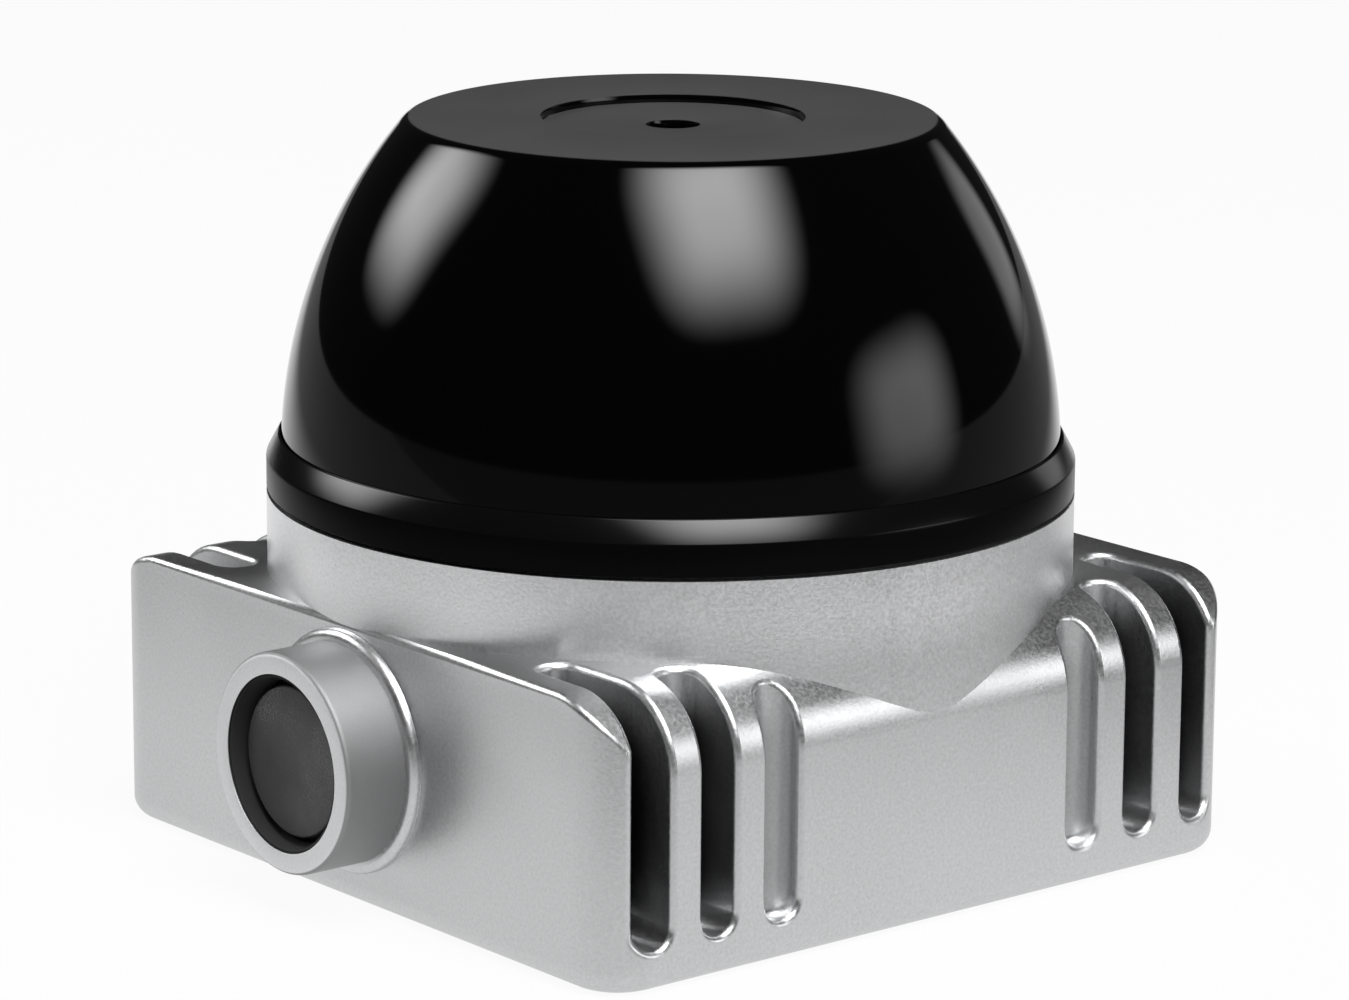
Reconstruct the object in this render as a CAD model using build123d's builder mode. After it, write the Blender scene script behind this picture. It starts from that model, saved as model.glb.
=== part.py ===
from build123d import *
import os
from math import radians, sqrt, tan

os.makedirs("parts", exist_ok=True)

# Compact dome scanner: a glossy dome on a square cast base, a rotating mirror and a rotating prism inside.
# Millimetres. Origin: centre of the flat underside, on the dome's axis, +Z up.
# The round connector points to -X and the cooling slots are in the +Y and -Y sides.

# Base housing, outside
base_width = 65.0
base_height = 22.7
corner_radius = 4.5
shoulder_radius = 6.5
top_edge_radius = 0.5
bottom_edge_radius = 1.8
collar_radius = 32.45
collar_height = 6.3
half = base_width / 2
collar_top = base_height + collar_height

# Cooling slots, three in each end of the two long sides
slot_count = 3
slot_width = 3.2
slot_pitch = 6.22
slot_first = 15.55
slot_floor = 3.3
slot_land = 1.05
slot_rim_radius = 0.55
touching = 0.001

# Base housing, inside
cover_radius = 29.8
cover_thickness = 2.5
cover_clearance = 0.1
bay_radius = 28.3
deck_underside = 19.0
deck_thickness = 2.5
upper_bore_radius = 29.5
deck_top = deck_underside + deck_thickness
cover_seal_inner = 28.75
cover_seal_width = 0.7
cover_seal_thickness = 0.6
seal_clearance = 0.05
seal_squeeze_gap = 0.02

# Cover screws and the bosses that take them
boss_circle = 26.0
boss_radius = 2.6
boss_count = 4
boss_angle = 45.0
m2_radius = 1.0
m2_clearance = 0.1
thread_clearance = 0.03
m2_head_radius = 1.75
m2_head_height = 1.5
m2_hex_flat = 1.5
m2_hex_depth = 0.8
cover_screw_length = 5.5
cover_screw_recess = 1.6
thread_run_out = 0.4
deck_thread_reach = 2.0
deck_thread_depth = 2.2
cover_edge = 0.3

# Mounting holes in the underside
mount_spacing_x = 48.0
mount_spacing_y = 46.0
mount_thread_radius = 1.5
mount_thread_depth = 6.0
dowel_x = 29.0
dowel_y = 15.5
dowel_radius = 1.5
dowel_depth = 4.0

# Dome window and its retaining ring
gasket_thickness = 0.3
gasket_inner = 29.7
gasket_outer = 31.9
window_flange_radius = 31.65
window_flange_height = 1.3
window_wall_radius = 31.25
window_wall = 2.2
window_straight_top = 33.3
window_mid_radius = 28.75
window_mid_z = 46.0
window_shoulder_radius = 21.7
window_shoulder_z = 58.4
window_top_radius = 20.8
window_top_z = 59.0
window_top_thickness = 3.0
gate_recess_radius = 10.5
gate_recess_depth = 0.7
gate_dimple_radius = 2.15
gate_dimple_depth = 0.9
ring_radius = 32.45
ring_band_height = 2.5
ring_chamfer_height = 1.8
ring_clearance = 0.07
ring_lip = 0.15
gasket_top = collar_top + gasket_thickness

# Round connector in the -X side
connector_z = 12.4
boss_ring_radius = 9.7
boss_ring_height = 0.8
boss_ring_edge = 0.7
barrel_radius = 8.75
barrel_length = 5.5
barrel_edge = 0.45
barrel_bore = 7.0
barrel_bore_edge = 0.15
shank_radius = 8.0
shank_length = 4.3
shank_clearance = 0.05
shank_lip_radius = 6.2
shank_lip_thickness = 1.0
connector_ring_depth = 0.4
connector_ring_width = 1.0
connector_ring_offset = 0.9
insert_clearance = 0.04
insert_recess = 0.2
insert_mouth_radius = 6.75
insert_mouth_depth = 1.4
insert_guide_radius = 6.4
insert_floor_thickness = 1.4
insert_tail_radius = 5.9
insert_tail_length = 2.6
pin_radius = 0.38
pin_clearance = 0.03
pin_reach = 4.2
pin_tail = 0.3
pin_point = 0.15
outer_pin_count = 8
outer_pin_circle = 3.7
inner_pin_count = 4
inner_pin_circle = 1.5
plug_head_radius = 6.0
plug_head_thickness = 1.0
plug_recess = 1.2
plug_fit = 0.05
plug_seat_gap = 0.05
plug_wall = 0.85
plug_edge = 0.2
connector_board_radius = 6.4
connector_board_thickness = 1.0
flex_thickness = 0.2
flex_width = 9.0
flex_bend = 1.6
flex_landing = 5.5
flex_pad_height = 4.4

# Lower bay: boards and transceiver
pad_thickness = 1.5
pad_size = 13.0
processor_size = 12.0
processor_height = 1.4
main_board_radius = 27.4
main_board_thickness = 1.6
main_board_chord = -21.4
board_notch_clearance = 0.6
chip_height = 1.0
chip_sites = [(20.5, 0, 5.0, 8.0), (6.5, -20.5, 7.0, 5.0), (-6.5, -20.5, 7.0, 5.0), (10.5, 20.0, 4.0, 4.0)]
standoff_x = 18.5
standoff_y = 11.5
standoff_flat = 4.0
board_screw_length = 5.0
board_connector_length = 12.0
board_connector_width = 4.0
board_connector_y = -8.0
transceiver_gap = 1.0
transceiver_board_radius = 14.2
transceiver_board_thickness = 1.2
transceiver_radius = 14.6
transceiver_flange_radius = 18.2
transceiver_flange_thickness = 2.5
transceiver_screw_circle = 16.4
transceiver_screw_count = 4
transceiver_screw_angle = 45.0
transceiver_window_radius = 9.2
barrel_seat_z = 12.4
lens_barrel_radius = 12.0
lens_barrel_fit = 0.05
lens_barrel_top = 25.6
lens_barrel_bore = 10.0
lens_barrel_lip = 9.0
lens_barrel_lip_height = 0.8
field_edge = 1.2
field_crown = 1.0
objective_radius = 10.95
objective_z = 22.4
objective_edge = 1.2
objective_crown = 1.4
objective_crown_radius = 10.0
lens_fit = 0.03
field_crown_radius = 8.8
lens_ring_width = 0.8
lens_ring_height = 1.2
emitter_x = -3.6
emitter_size = 3.0
emitter_height = 1.3
detector_x = 3.6
detector_size = 4.0
detector_height = 1.0

# Rotor frame, fixed on the deck
frame_flange_radius = 27.8
frame_flange_thickness = 2.0
frame_screw_circle = 26.0
frame_screw_count = 4
frame_tube_inner = 17.0
frame_tube_outer = 19.2
frame_step_radius = 20.4
frame_step_top = 29.0
frame_lip_inner = 15.6
clip_thickness = 0.4
clip_inner = 16.0
clip_depth = 0.4
clip_clearance = 0.04
clip_opening = 6.0
clip_land = 0.4
frame_bottom = deck_top
frame_flange_top = frame_bottom + frame_flange_thickness
deck_hole_radius = 12.6

# Thin-section bearings of the two rotors
bearing_width = 4.0
bearing_bore = 13.0
bearing_inner_race = 1.3
bearing_outer_race = 1.3
ball_radius = 1.0
ball_count = 16
ball_clearance = 0.05
bearing_fit = 0.02
cage_half_width = 0.45
cage_half_height = 1.5
prism_bearing_z = 26.0
ball_circle = (bearing_bore + frame_tube_inner) / 2

# Prism motor, inside the frame's tube
motor_stack_height = 4.0
prism_stator_ring = 0.8
prism_tooth_inner = 15.0
tooth_width = 1.4
tooth_height = 2.2
prism_coil_width = 3.0
prism_coil_height = 3.2
prism_coil_gap = 0.15
coil_clearance = 0.05
prism_tooth_count = 9
magnet_count = 12
magnet_gap = 0.6
prism_magnet_thickness = 1.5
prism_magnet_height = 3.0
prism_magnet_rise = 0.5
prism_sleeve_top_gap = 0.2
prism_sleeve_bore = 11.4
prism_sleeve_lip = 10.6
prism_sleeve_lip_height = 1.0
prism_seat_fit = 0.03
prism_thin = 1.8
prism_angle = 12.0
head_bearing_z = prism_bearing_z + bearing_width + motor_stack_height

# Scan head, carried by the upper bearing
head_gap = 0.4
head_plate_thickness = 1.4
head_radius = 25.6
head_skirt_wall = 1.4
head_skirt_length = 10.6
head_bore = 11.4
head_shoulder_radius = 13.9
head_edge = 0.6
head_stator_height = 6.4
head_tooth_outer = 22.4
head_tooth_count = 12
head_tooth_width = 1.8
head_tooth_height = 4.0
head_coil_width = 4.2
head_coil_height = 5.4
head_coil_gap = 0.35
tooth_root = 0.3
head_magnet_thickness = 1.3
head_magnet_height = 6.0
encoder_thickness = 0.5
encoder_inner = 21.0
encoder_slot_count = 60
encoder_slot_length = 2.0
encoder_slot_width = 0.8
encoder_track_radius = 22.8
motor_board_inner = 20.6
motor_board_outer = 24.1
motor_board_thickness = 1.2
encoder_air_gap = 0.3
encoder_reader_length = 2.4
encoder_reader_width = 4.0
mirror_lower_gap = 0.6
mirror_half_rise = 6.4
mirror_width = 22.0
mirror_thickness = 1.5
bracket_width = 20.0
bracket_wall = 3.0
bracket_rib = 2.0
bracket_foot_front = -12.0
bracket_foot_rear = -19.0
bracket_foot_height = 2.0
bracket_screw_gap = 0.15
bracket_screw_y = 5.5
bracket_screw_tip_gap = 0.2
weight_inner = 16.5
weight_outer = 24.0
weight_angle = 70.0
weight_height = 1.4

# Flat cable of the motors
motor_flex_y = 22.4
motor_flex_width = 6.0
motor_flex_thickness = 0.3
motor_flex_slot_length = 7.0
motor_flex_slot_width = 1.0
motor_socket_length = 8.0
motor_socket_width = 3.0
motor_socket_height = 1.5

# Vent in the bottom cover
vent_x = 0.0
vent_y = -19.0
vent_radius = 3.0
vent_thickness = 1.0
vent_hole_radius = 1.0
vent_stub_length = 1.0

# Levels and places that follow from the sizes above
cover_screw_land = cover_thickness - cover_screw_recess
ring_top = gasket_top + ring_band_height + ring_chamfer_height
main_board_z = cover_thickness + pad_thickness + processor_height
main_board_top = main_board_z + main_board_thickness
transceiver_board_z = main_board_top + transceiver_gap
transceiver_z = transceiver_board_z + transceiver_board_thickness
lens_lip_top = barrel_seat_z + lens_barrel_lip_height
barrel_front = -half - boss_ring_height - barrel_length
barrel_base = barrel_front + barrel_length
shank_end = barrel_base + shank_length
lip_front = shank_end - shank_lip_thickness
insert_front = barrel_front + insert_recess
guide_front = insert_front + insert_mouth_depth
insert_floor_front = lip_front - insert_floor_thickness
insert_tail_end = lip_front + insert_tail_length
connector_board_end = insert_tail_end + connector_board_thickness
plug_front = barrel_front + plug_recess
plug_radius = insert_guide_radius - plug_fit
sleeve_radius = bearing_bore - bearing_fit
race_radius = frame_tube_inner - bearing_fit
prism_stator_z = prism_bearing_z + bearing_width
prism_motor_mid = prism_stator_z + motor_stack_height / 2
prism_sleeve_top = head_bearing_z - prism_sleeve_top_gap
head_bearing_top = head_bearing_z + bearing_width
frame_top = head_bearing_top + clip_thickness + clip_land
head_plate_z = frame_top + head_gap
head_plate_top = head_plate_z + head_plate_thickness
head_skirt_bottom = head_plate_z - head_skirt_length
head_motor_mid = frame_step_top + head_stator_height / 2
encoder_z = head_skirt_bottom - encoder_thickness
motor_board_top = frame_flange_top + motor_board_thickness
mirror_centre_z = head_plate_top + mirror_lower_gap + mirror_half_rise
bracket_screw_x = bracket_foot_front - bracket_wall - m2_head_radius - bracket_screw_gap
boss_places = PolarLocations(boss_circle, boss_count, start_angle=boss_angle)
standoff_places = GridLocations(2 * standoff_x, 2 * standoff_y, 2, 2)
transceiver_screw_places = PolarLocations(
    transceiver_screw_circle, transceiver_screw_count, start_angle=transceiver_screw_angle
)
frame_screw_places = PolarLocations(frame_screw_circle, frame_screw_count)


# The cooling slots, as one cutter: round-ended both from above and from the side
with BuildPart() as slot_cutter:
    slot_half = slot_width / 2
    slot_reach = base_width / 2
    slot_places = [
        (side * (slot_first + k * slot_pitch), end * 1.0)
        for k in range(slot_count)
        for side in (-1, 1)
        for end in (-1, 1)
    ]
    inner_circle = collar_radius + slot_land + slot_half
    with BuildSketch(Plane.XY):
        for x, end in slot_places:
            inner_y = sqrt(inner_circle**2 - x**2)
            with Locations((x, end * inner_y)):
                Circle(slot_half)
            with Locations((x, end * (inner_y + slot_reach / 2))):
                Rectangle(slot_width, slot_reach)
    extrude(amount=2 * base_height)
    with BuildSketch(Plane.XZ):
        for x in {place[0] for place in slot_places}:
            with Locations((x, slot_floor + slot_half)):
                Circle(slot_half)
            with Locations((x, slot_floor + slot_half + base_height)):
                Rectangle(slot_width, 2 * base_height)
    extrude(amount=base_width, both=True, mode=Mode.INTERSECT)

with BuildPart() as base_housing:
    with BuildSketch(Plane.XY):
        RectangleRounded(base_width, base_width, corner_radius)
    extrude(amount=base_height)
    # large shoulders along X
    with BuildSketch(Plane.YZ) as side_profile:
        Rectangle(base_width, 2 * base_height)
        fillet(side_profile.vertices().group_by(Axis.Y)[-1], shoulder_radius)
    extrude(amount=base_width, both=True, mode=Mode.INTERSECT)
    fillet(base_housing.edges().group_by(Axis.Z)[0], bottom_edge_radius)
    uncut_skin = base_housing.part.shell()
    add(slot_cutter.part, mode=Mode.SUBTRACT)
    # the crease between each end face, the top and the shoulders, down to the outermost slots
    along_y = base_housing.edges().filter_by(Axis.Y).sort_by(Axis.X)
    end_edges = along_y.filter_by_position(Axis.Z, base_height, base_height)
    fillet([end_edges.first, end_edges.last], top_edge_radius)
    # the slots' rims: the edges that lie on both a slot's wall and the outer skin
    wall_edges = [edge for edge in base_housing.edges() if slot_cutter.part.distance_to(edge @ 0.5) < touching]
    rim_edges = [edge for edge in wall_edges if uncut_skin.distance_to(edge @ 0.5) < top_edge_radius / 2]
    fillet(rim_edges, slot_rim_radius)
    # the round collar that carries the window
    with BuildSketch(Plane.XY.offset(base_height - shoulder_radius)):
        Circle(collar_radius)
    extrude(amount=collar_height + shoulder_radius)
    # raised ring round the connector
    with BuildSketch(Plane.YZ.offset(-half)):
        with Locations((0, connector_z)):
            Circle(boss_ring_radius)
    extrude(amount=-boss_ring_height)
    fillet(base_housing.edges().group_by(Axis.X)[0], boss_ring_edge)
    # recess for the bottom cover, lower bay, deck hole and upper bore
    with BuildSketch(Plane.XY):
        Circle(cover_radius + cover_clearance)
    extrude(amount=cover_thickness, mode=Mode.SUBTRACT)
    with BuildSketch(Plane.XY.offset(cover_thickness)):
        Circle(bay_radius)
    extrude(amount=deck_underside - cover_thickness, mode=Mode.SUBTRACT)
    with BuildSketch(Plane.XY.offset(deck_underside)):
        Circle(deck_hole_radius)
    extrude(amount=deck_thickness, mode=Mode.SUBTRACT)
    with BuildSketch(Plane.XY.offset(deck_top)):
        Circle(upper_bore_radius)
    extrude(amount=collar_top - deck_top, mode=Mode.SUBTRACT)

    # bosses for the cover screws, cast onto the bay's wall up to the deck
    with BuildSketch(Plane.XY.offset(cover_thickness)):
        with boss_places:
            Circle(boss_radius)
    extrude(amount=deck_underside - cover_thickness)
    with BuildSketch(Plane.XY.offset(cover_thickness)):
        with boss_places:
            Circle(m2_radius + thread_clearance)
    extrude(amount=cover_screw_length - cover_screw_land + thread_run_out, mode=Mode.SUBTRACT)
    # groove for the cover's seal
    with BuildSketch(Plane.XY.offset(cover_thickness)):
        Circle(cover_seal_inner + cover_seal_width + seal_clearance)
        Circle(cover_seal_inner - seal_clearance, mode=Mode.SUBTRACT)
    extrude(amount=cover_seal_thickness, mode=Mode.SUBTRACT)
    # threaded mounting holes and two locating holes in the underside
    with BuildSketch(Plane.XY):
        with GridLocations(mount_spacing_x, mount_spacing_y, 2, 2):
            Circle(mount_thread_radius)
    extrude(amount=mount_thread_depth, mode=Mode.SUBTRACT)
    with BuildSketch(Plane.XY):
        with Locations((dowel_x, -dowel_y), (-dowel_x, dowel_y)):
            Circle(dowel_radius)
    extrude(amount=dowel_depth, mode=Mode.SUBTRACT)
    # hole for the connector's shank, through the wall at -X
    with BuildSketch(Plane.YZ.offset(barrel_base)):
        with Locations((0, connector_z)):
            Circle(shank_radius + shank_clearance)
    extrude(amount=-barrel_base - sqrt(bay_radius**2 - shank_radius**2), mode=Mode.SUBTRACT)
    # threads in the deck, from above for the frame and from below for the boards and the optics
    with BuildSketch(Plane.XY.offset(deck_top)):
        with frame_screw_places:
            Circle(m2_radius + thread_clearance)
    extrude(amount=-deck_thread_depth, mode=Mode.SUBTRACT)
    with BuildSketch(Plane.XY.offset(deck_underside)):
        with standoff_places:
            Circle(m2_radius + thread_clearance)
        with transceiver_screw_places:
            Circle(m2_radius + thread_clearance)
    extrude(amount=deck_thread_depth, mode=Mode.SUBTRACT)
    # slot in the deck for the motors' flat cable
    with BuildSketch(Plane.XY.offset(deck_underside)):
        with Locations((0, motor_flex_y)):
            Rectangle(motor_flex_slot_length, motor_flex_slot_width)
    extrude(amount=deck_thickness, mode=Mode.SUBTRACT)

base_housing.part.label = "base_housing"
export_step(base_housing.part, "parts/base_housing.step")


# M2 screws with a hexagon socket: the heads stand behind the plane, the shanks point along its normal
def socket_screws(plane, places, length):
    with BuildPart() as screws:
        with BuildSketch(plane):
            with places:
                Circle(m2_radius)
        extrude(amount=length)
        with BuildSketch(plane):
            with places:
                Circle(m2_head_radius)
        extrude(amount=-m2_head_height)
        with BuildSketch(plane.offset(-m2_head_height)):
            with places:
                RegularPolygon(m2_hex_flat / 2, 6, major_radius=False)
        extrude(amount=m2_hex_depth, mode=Mode.SUBTRACT)
    return screws.part


cover_screws = socket_screws(Plane.XY.offset(cover_screw_recess), boss_places, cover_screw_length)
board_screw_set = socket_screws(Plane.XY.offset(main_board_z), standoff_places, board_screw_length)
transceiver_screw_set = socket_screws(
    Plane.XY.offset(deck_underside - transceiver_flange_thickness),
    transceiver_screw_places,
    transceiver_flange_thickness + deck_thread_reach,
)
frame_screw_set = socket_screws(
    Plane(origin=(0, 0, frame_flange_top), z_dir=(0, 0, -1)),
    frame_screw_places,
    frame_flange_thickness + deck_thread_reach,
)
bracket_foot_top = head_plate_top + bracket_foot_height
bracket_screw_set = socket_screws(
    Plane(origin=(bracket_screw_x, 0, bracket_foot_top), x_dir=(1, 0, 0), z_dir=(0, 0, -1)),
    GridLocations(0, 2 * bracket_screw_y, 1, 2),
    bracket_foot_height + head_plate_thickness - bracket_screw_tip_gap,
)

with BuildPart() as bottom_cover:
    with BuildSketch(Plane.XY):
        Circle(cover_radius)
    extrude(amount=cover_thickness)
    fillet(bottom_cover.edges().group_by(Axis.Z)[0], cover_edge)
    with BuildSketch(Plane.XY):
        with boss_places:
            Circle(m2_head_radius + m2_clearance)
    extrude(amount=cover_screw_recess, mode=Mode.SUBTRACT)
    with BuildSketch(Plane.XY):
        with boss_places:
            Circle(m2_radius + m2_clearance)
        with Locations((vent_x, vent_y)):
            Circle(vent_hole_radius)
    extrude(amount=cover_thickness, mode=Mode.SUBTRACT)

bottom_cover.part.label = "bottom_cover"
export_step(bottom_cover.part, "parts/bottom_cover.step")

with BuildPart() as bottom_cover_seal:
    with BuildSketch(Plane.XY.offset(cover_thickness)):
        Circle(cover_seal_inner + cover_seal_width)
        Circle(cover_seal_inner, mode=Mode.SUBTRACT)
    extrude(amount=cover_seal_thickness)

bottom_cover_seal.part.label = "bottom_cover_seal"
export_step(bottom_cover_seal.part, "parts/bottom_cover_seal.step")

with BuildPart() as bottom_cover_screws:
    add(cover_screws)

bottom_cover_screws.part.label = "bottom_cover_screws"
export_step(bottom_cover_screws.part, "parts/bottom_cover_screws.step")

# Breather against condensation: a disc on the cover, with a stub in the cover's hole
with BuildPart() as pressure_vent:
    with BuildSketch(Plane.XY.offset(cover_thickness)):
        with Locations((vent_x, vent_y)):
            Circle(vent_radius)
    extrude(amount=vent_thickness)
    with BuildSketch(Plane.XY.offset(cover_thickness)):
        with Locations((vent_x, vent_y)):
            Circle(vent_hole_radius - seal_clearance)
    extrude(amount=-vent_stub_length)

pressure_vent.part.label = "pressure_vent"
export_step(pressure_vent.part, "parts/pressure_vent.step")

# The dome: one moulding, dark to the eye and clear to infrared, with the mould's gate in its flat top
with BuildPart() as dome_window:
    with BuildSketch(Plane.XZ) as dome_outline:
        with BuildLine():
            side = Line((window_wall_radius, gasket_top), (window_wall_radius, window_straight_top))
            crown = ThreePointArc(
                side @ 1, (window_mid_radius, window_mid_z), (window_shoulder_radius, window_shoulder_z)
            )
            rounding = TangentArc(crown @ 1, (window_top_radius, window_top_z), tangent=crown % 1)
            Polyline(rounding @ 1, (0, window_top_z), (0, gasket_top), side @ 0)
        make_face()
    revolve(axis=Axis.Z)
    with BuildSketch(Plane.XZ) as cavity:
        add(dome_outline.sketch)
        offset(amount=-window_wall, mode=Mode.REPLACE)
        with Locations((0, window_top_z - window_top_thickness)):
            Rectangle(base_width, base_width, align=(Align.CENTER, Align.MAX), mode=Mode.INTERSECT)
        # the offset leaves the core round the axis and the mouth, which go too
        with Locations((0, gasket_top)):
            Rectangle(
                gate_recess_radius,
                window_top_z - window_top_thickness - gasket_top,
                align=(Align.MIN, Align.MIN),
            )
            Rectangle(
                window_wall_radius - window_wall,
                window_straight_top - gasket_top,
                align=(Align.MIN, Align.MIN),
            )
        with Locations((0, gasket_top)):
            Rectangle(base_width, base_width, align=(Align.MIN, Align.MIN), mode=Mode.INTERSECT)
    revolve(axis=Axis.Z, mode=Mode.SUBTRACT)
    # flange that the ring holds down
    with BuildSketch(Plane.XY.offset(gasket_top)):
        Circle(window_flange_radius)
        Circle(window_wall_radius - window_wall, mode=Mode.SUBTRACT)
    extrude(amount=window_flange_height)
    # round pocket of the gate, and its dimple
    with BuildSketch(Plane.XY.offset(window_top_z)):
        Circle(gate_recess_radius)
    extrude(amount=-gate_recess_depth, mode=Mode.SUBTRACT)
    with BuildSketch(Plane.XY.offset(window_top_z - gate_recess_depth)):
        Circle(gate_dimple_radius)
    extrude(amount=-gate_dimple_depth, mode=Mode.SUBTRACT)

dome_window.part.label = "dome_window"
export_step(dome_window.part, "parts/dome_window.step")

with BuildPart() as window_ring:
    with BuildSketch(Plane.XZ):
        with BuildLine():
            Polyline(
                (window_flange_radius + ring_clearance, gasket_top),
                (ring_radius, gasket_top),
                (ring_radius, gasket_top + ring_band_height),
                (window_wall_radius + ring_clearance + ring_lip, ring_top),
                (window_wall_radius + ring_clearance, ring_top),
                (window_wall_radius + ring_clearance, gasket_top + window_flange_height + ring_clearance),
                (window_flange_radius + ring_clearance, gasket_top + window_flange_height + ring_clearance),
                close=True,
            )
        make_face()
    revolve(axis=Axis.Z)

window_ring.part.label = "window_ring"
export_step(window_ring.part, "parts/window_ring.step")

with BuildPart() as window_gasket:
    with BuildSketch(Plane.XY.offset(collar_top)):
        Circle(gasket_outer)
        Circle(gasket_inner, mode=Mode.SUBTRACT)
    extrude(amount=gasket_thickness)

window_gasket.part.label = "window_gasket"
export_step(window_gasket.part, "parts/window_gasket.step")

# The connector is turned and moulded about this line
connector_axis = Axis((0, 0, connector_z), (1, 0, 0))


# One circle at each of the connector's pins
def pin_circles(radius, mode=Mode.ADD):
    with Locations((0, connector_z)):
        with PolarLocations(outer_pin_circle, outer_pin_count):
            Circle(radius, mode=mode)
        with PolarLocations(inner_pin_circle, inner_pin_count, start_angle=45):
            Circle(radius, mode=mode)


with BuildPart() as connector_shell:
    groove_front = barrel_base + connector_ring_offset
    groove_end = groove_front + connector_ring_width
    groove_radius = shank_radius - connector_ring_depth
    with BuildSketch(Plane.XZ):
        with BuildLine():
            Polyline(
                (barrel_front, connector_z + barrel_bore),
                (barrel_front, connector_z + barrel_radius),
                (barrel_base, connector_z + barrel_radius),
                (barrel_base, connector_z + shank_radius),
                (groove_front, connector_z + shank_radius),
                (groove_front, connector_z + groove_radius),
                (groove_end, connector_z + groove_radius),
                (groove_end, connector_z + shank_radius),
                (shank_end, connector_z + shank_radius),
                (shank_end, connector_z + shank_lip_radius),
                (lip_front, connector_z + shank_lip_radius),
                (lip_front, connector_z + barrel_bore),
                close=True,
            )
        make_face()
    revolve(axis=connector_axis)
    front_circles = connector_shell.edges().group_by(Axis.X)[0].sort_by(SortBy.RADIUS)
    fillet(front_circles[-1], barrel_edge)
    fillet(connector_shell.edges().group_by(Axis.X)[0].sort_by(SortBy.RADIUS)[0], barrel_bore_edge)

connector_shell.part.label = "connector_shell"
export_step(connector_shell.part, "parts/connector_shell.step")

with BuildPart() as connector_insert:
    insert_radius = barrel_bore - insert_clearance
    with BuildSketch(Plane.XZ):
        with BuildLine():
            Polyline(
                (insert_front, connector_z + insert_mouth_radius),
                (insert_front, connector_z + insert_radius),
                (lip_front, connector_z + insert_radius),
                (lip_front, connector_z + insert_tail_radius),
                (insert_tail_end, connector_z + insert_tail_radius),
                (insert_tail_end, connector_z),
                (insert_floor_front, connector_z),
                (insert_floor_front, connector_z + insert_guide_radius),
                (guide_front, connector_z + insert_guide_radius),
                (guide_front, connector_z + insert_mouth_radius),
                close=True,
            )
        make_face()
    revolve(axis=connector_axis)
    with BuildSketch(Plane.YZ.offset(insert_tail_end)):
        pin_circles(pin_radius + pin_clearance)
    extrude(amount=insert_floor_front - insert_tail_end, mode=Mode.SUBTRACT)

connector_insert.part.label = "connector_insert"
export_step(connector_insert.part, "parts/connector_insert.step")

with BuildPart() as connector_pins:
    pin_end = connector_board_end + pin_tail
    with BuildSketch(Plane.YZ.offset(pin_end)):
        pin_circles(pin_radius)
    extrude(amount=insert_floor_front - pin_reach - pin_end)
    chamfer(connector_pins.edges().group_by(Axis.X)[0], pin_point)

connector_pins.part.label = "connector_pins"
export_step(connector_pins.part, "parts/connector_pins.step")

with BuildPart() as connector_o_ring:
    with BuildSketch(Plane.YZ.offset(groove_front)):
        with Locations((0, connector_z)):
            Circle(shank_radius + shank_clearance - seal_squeeze_gap)
            Circle(groove_radius + seal_squeeze_gap, mode=Mode.SUBTRACT)
    extrude(amount=connector_ring_width)

connector_o_ring.part.label = "connector_o_ring"
export_step(connector_o_ring.part, "parts/connector_o_ring.step")

with BuildPart() as connector_board:
    with BuildSketch(Plane.YZ.offset(insert_tail_end)):
        with Locations((0, connector_z)):
            Circle(connector_board_radius)
        pin_circles(pin_radius + pin_clearance, Mode.SUBTRACT)
    extrude(amount=connector_board_thickness)

connector_board.part.label = "connector_board"
export_step(connector_board.part, "parts/connector_board.step")

# Flat cable from the connector's board, down and across to the main board
with BuildPart() as connector_flex_circuit:
    flex_x = connector_board_end + flex_thickness / 2
    flex_z = main_board_top + flex_thickness / 2
    with BuildSketch(Plane.XZ):
        with BuildLine():
            FilletPolyline(
                (flex_x, connector_z + flex_pad_height),
                (flex_x, flex_z),
                (main_board_chord + flex_landing, flex_z),
                radius=flex_bend,
            )
        trace(line_width=flex_thickness)
    extrude(amount=flex_width / 2, both=True)
    with BuildSketch(Plane.YZ.offset(connector_board_end)):
        pin_circles(pin_radius + pin_clearance)
    extrude(amount=flex_thickness, mode=Mode.SUBTRACT)

connector_flex_circuit.part.label = "connector_flex_circuit"
export_step(connector_flex_circuit.part, "parts/connector_flex_circuit.step")

# Cap that closes the connector's mouth; its skirt slides in the insert round the pins
with BuildPart() as connector_dust_plug:
    plug_back = plug_front + plug_head_thickness
    plug_end = insert_floor_front - plug_seat_gap
    with BuildSketch(Plane.XZ):
        with BuildLine():
            Polyline(
                (plug_front, connector_z),
                (plug_front, connector_z + plug_head_radius),
                (plug_back, connector_z + plug_head_radius),
                (plug_back, connector_z + plug_radius),
                (plug_end, connector_z + plug_radius),
                (plug_end, connector_z + plug_radius - plug_wall),
                (plug_back, connector_z + plug_radius - plug_wall),
                (plug_back, connector_z),
                close=True,
            )
        make_face()
    revolve(axis=connector_axis)
    fillet(connector_dust_plug.edges().group_by(Axis.X)[0], plug_edge)

connector_dust_plug.part.label = "connector_dust_plug"
export_step(connector_dust_plug.part, "parts/connector_dust_plug.step")

with BuildPart() as thermal_pad:
    with BuildSketch(Plane.XY.offset(cover_thickness)):
        Rectangle(pad_size, pad_size)
    extrude(amount=pad_thickness)

thermal_pad.part.label = "thermal_pad"
export_step(thermal_pad.part, "parts/thermal_pad.step")

with BuildPart() as processor:
    with BuildSketch(Plane.XY.offset(cover_thickness + pad_thickness)):
        Rectangle(processor_size, processor_size)
    extrude(amount=processor_height)

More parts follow.
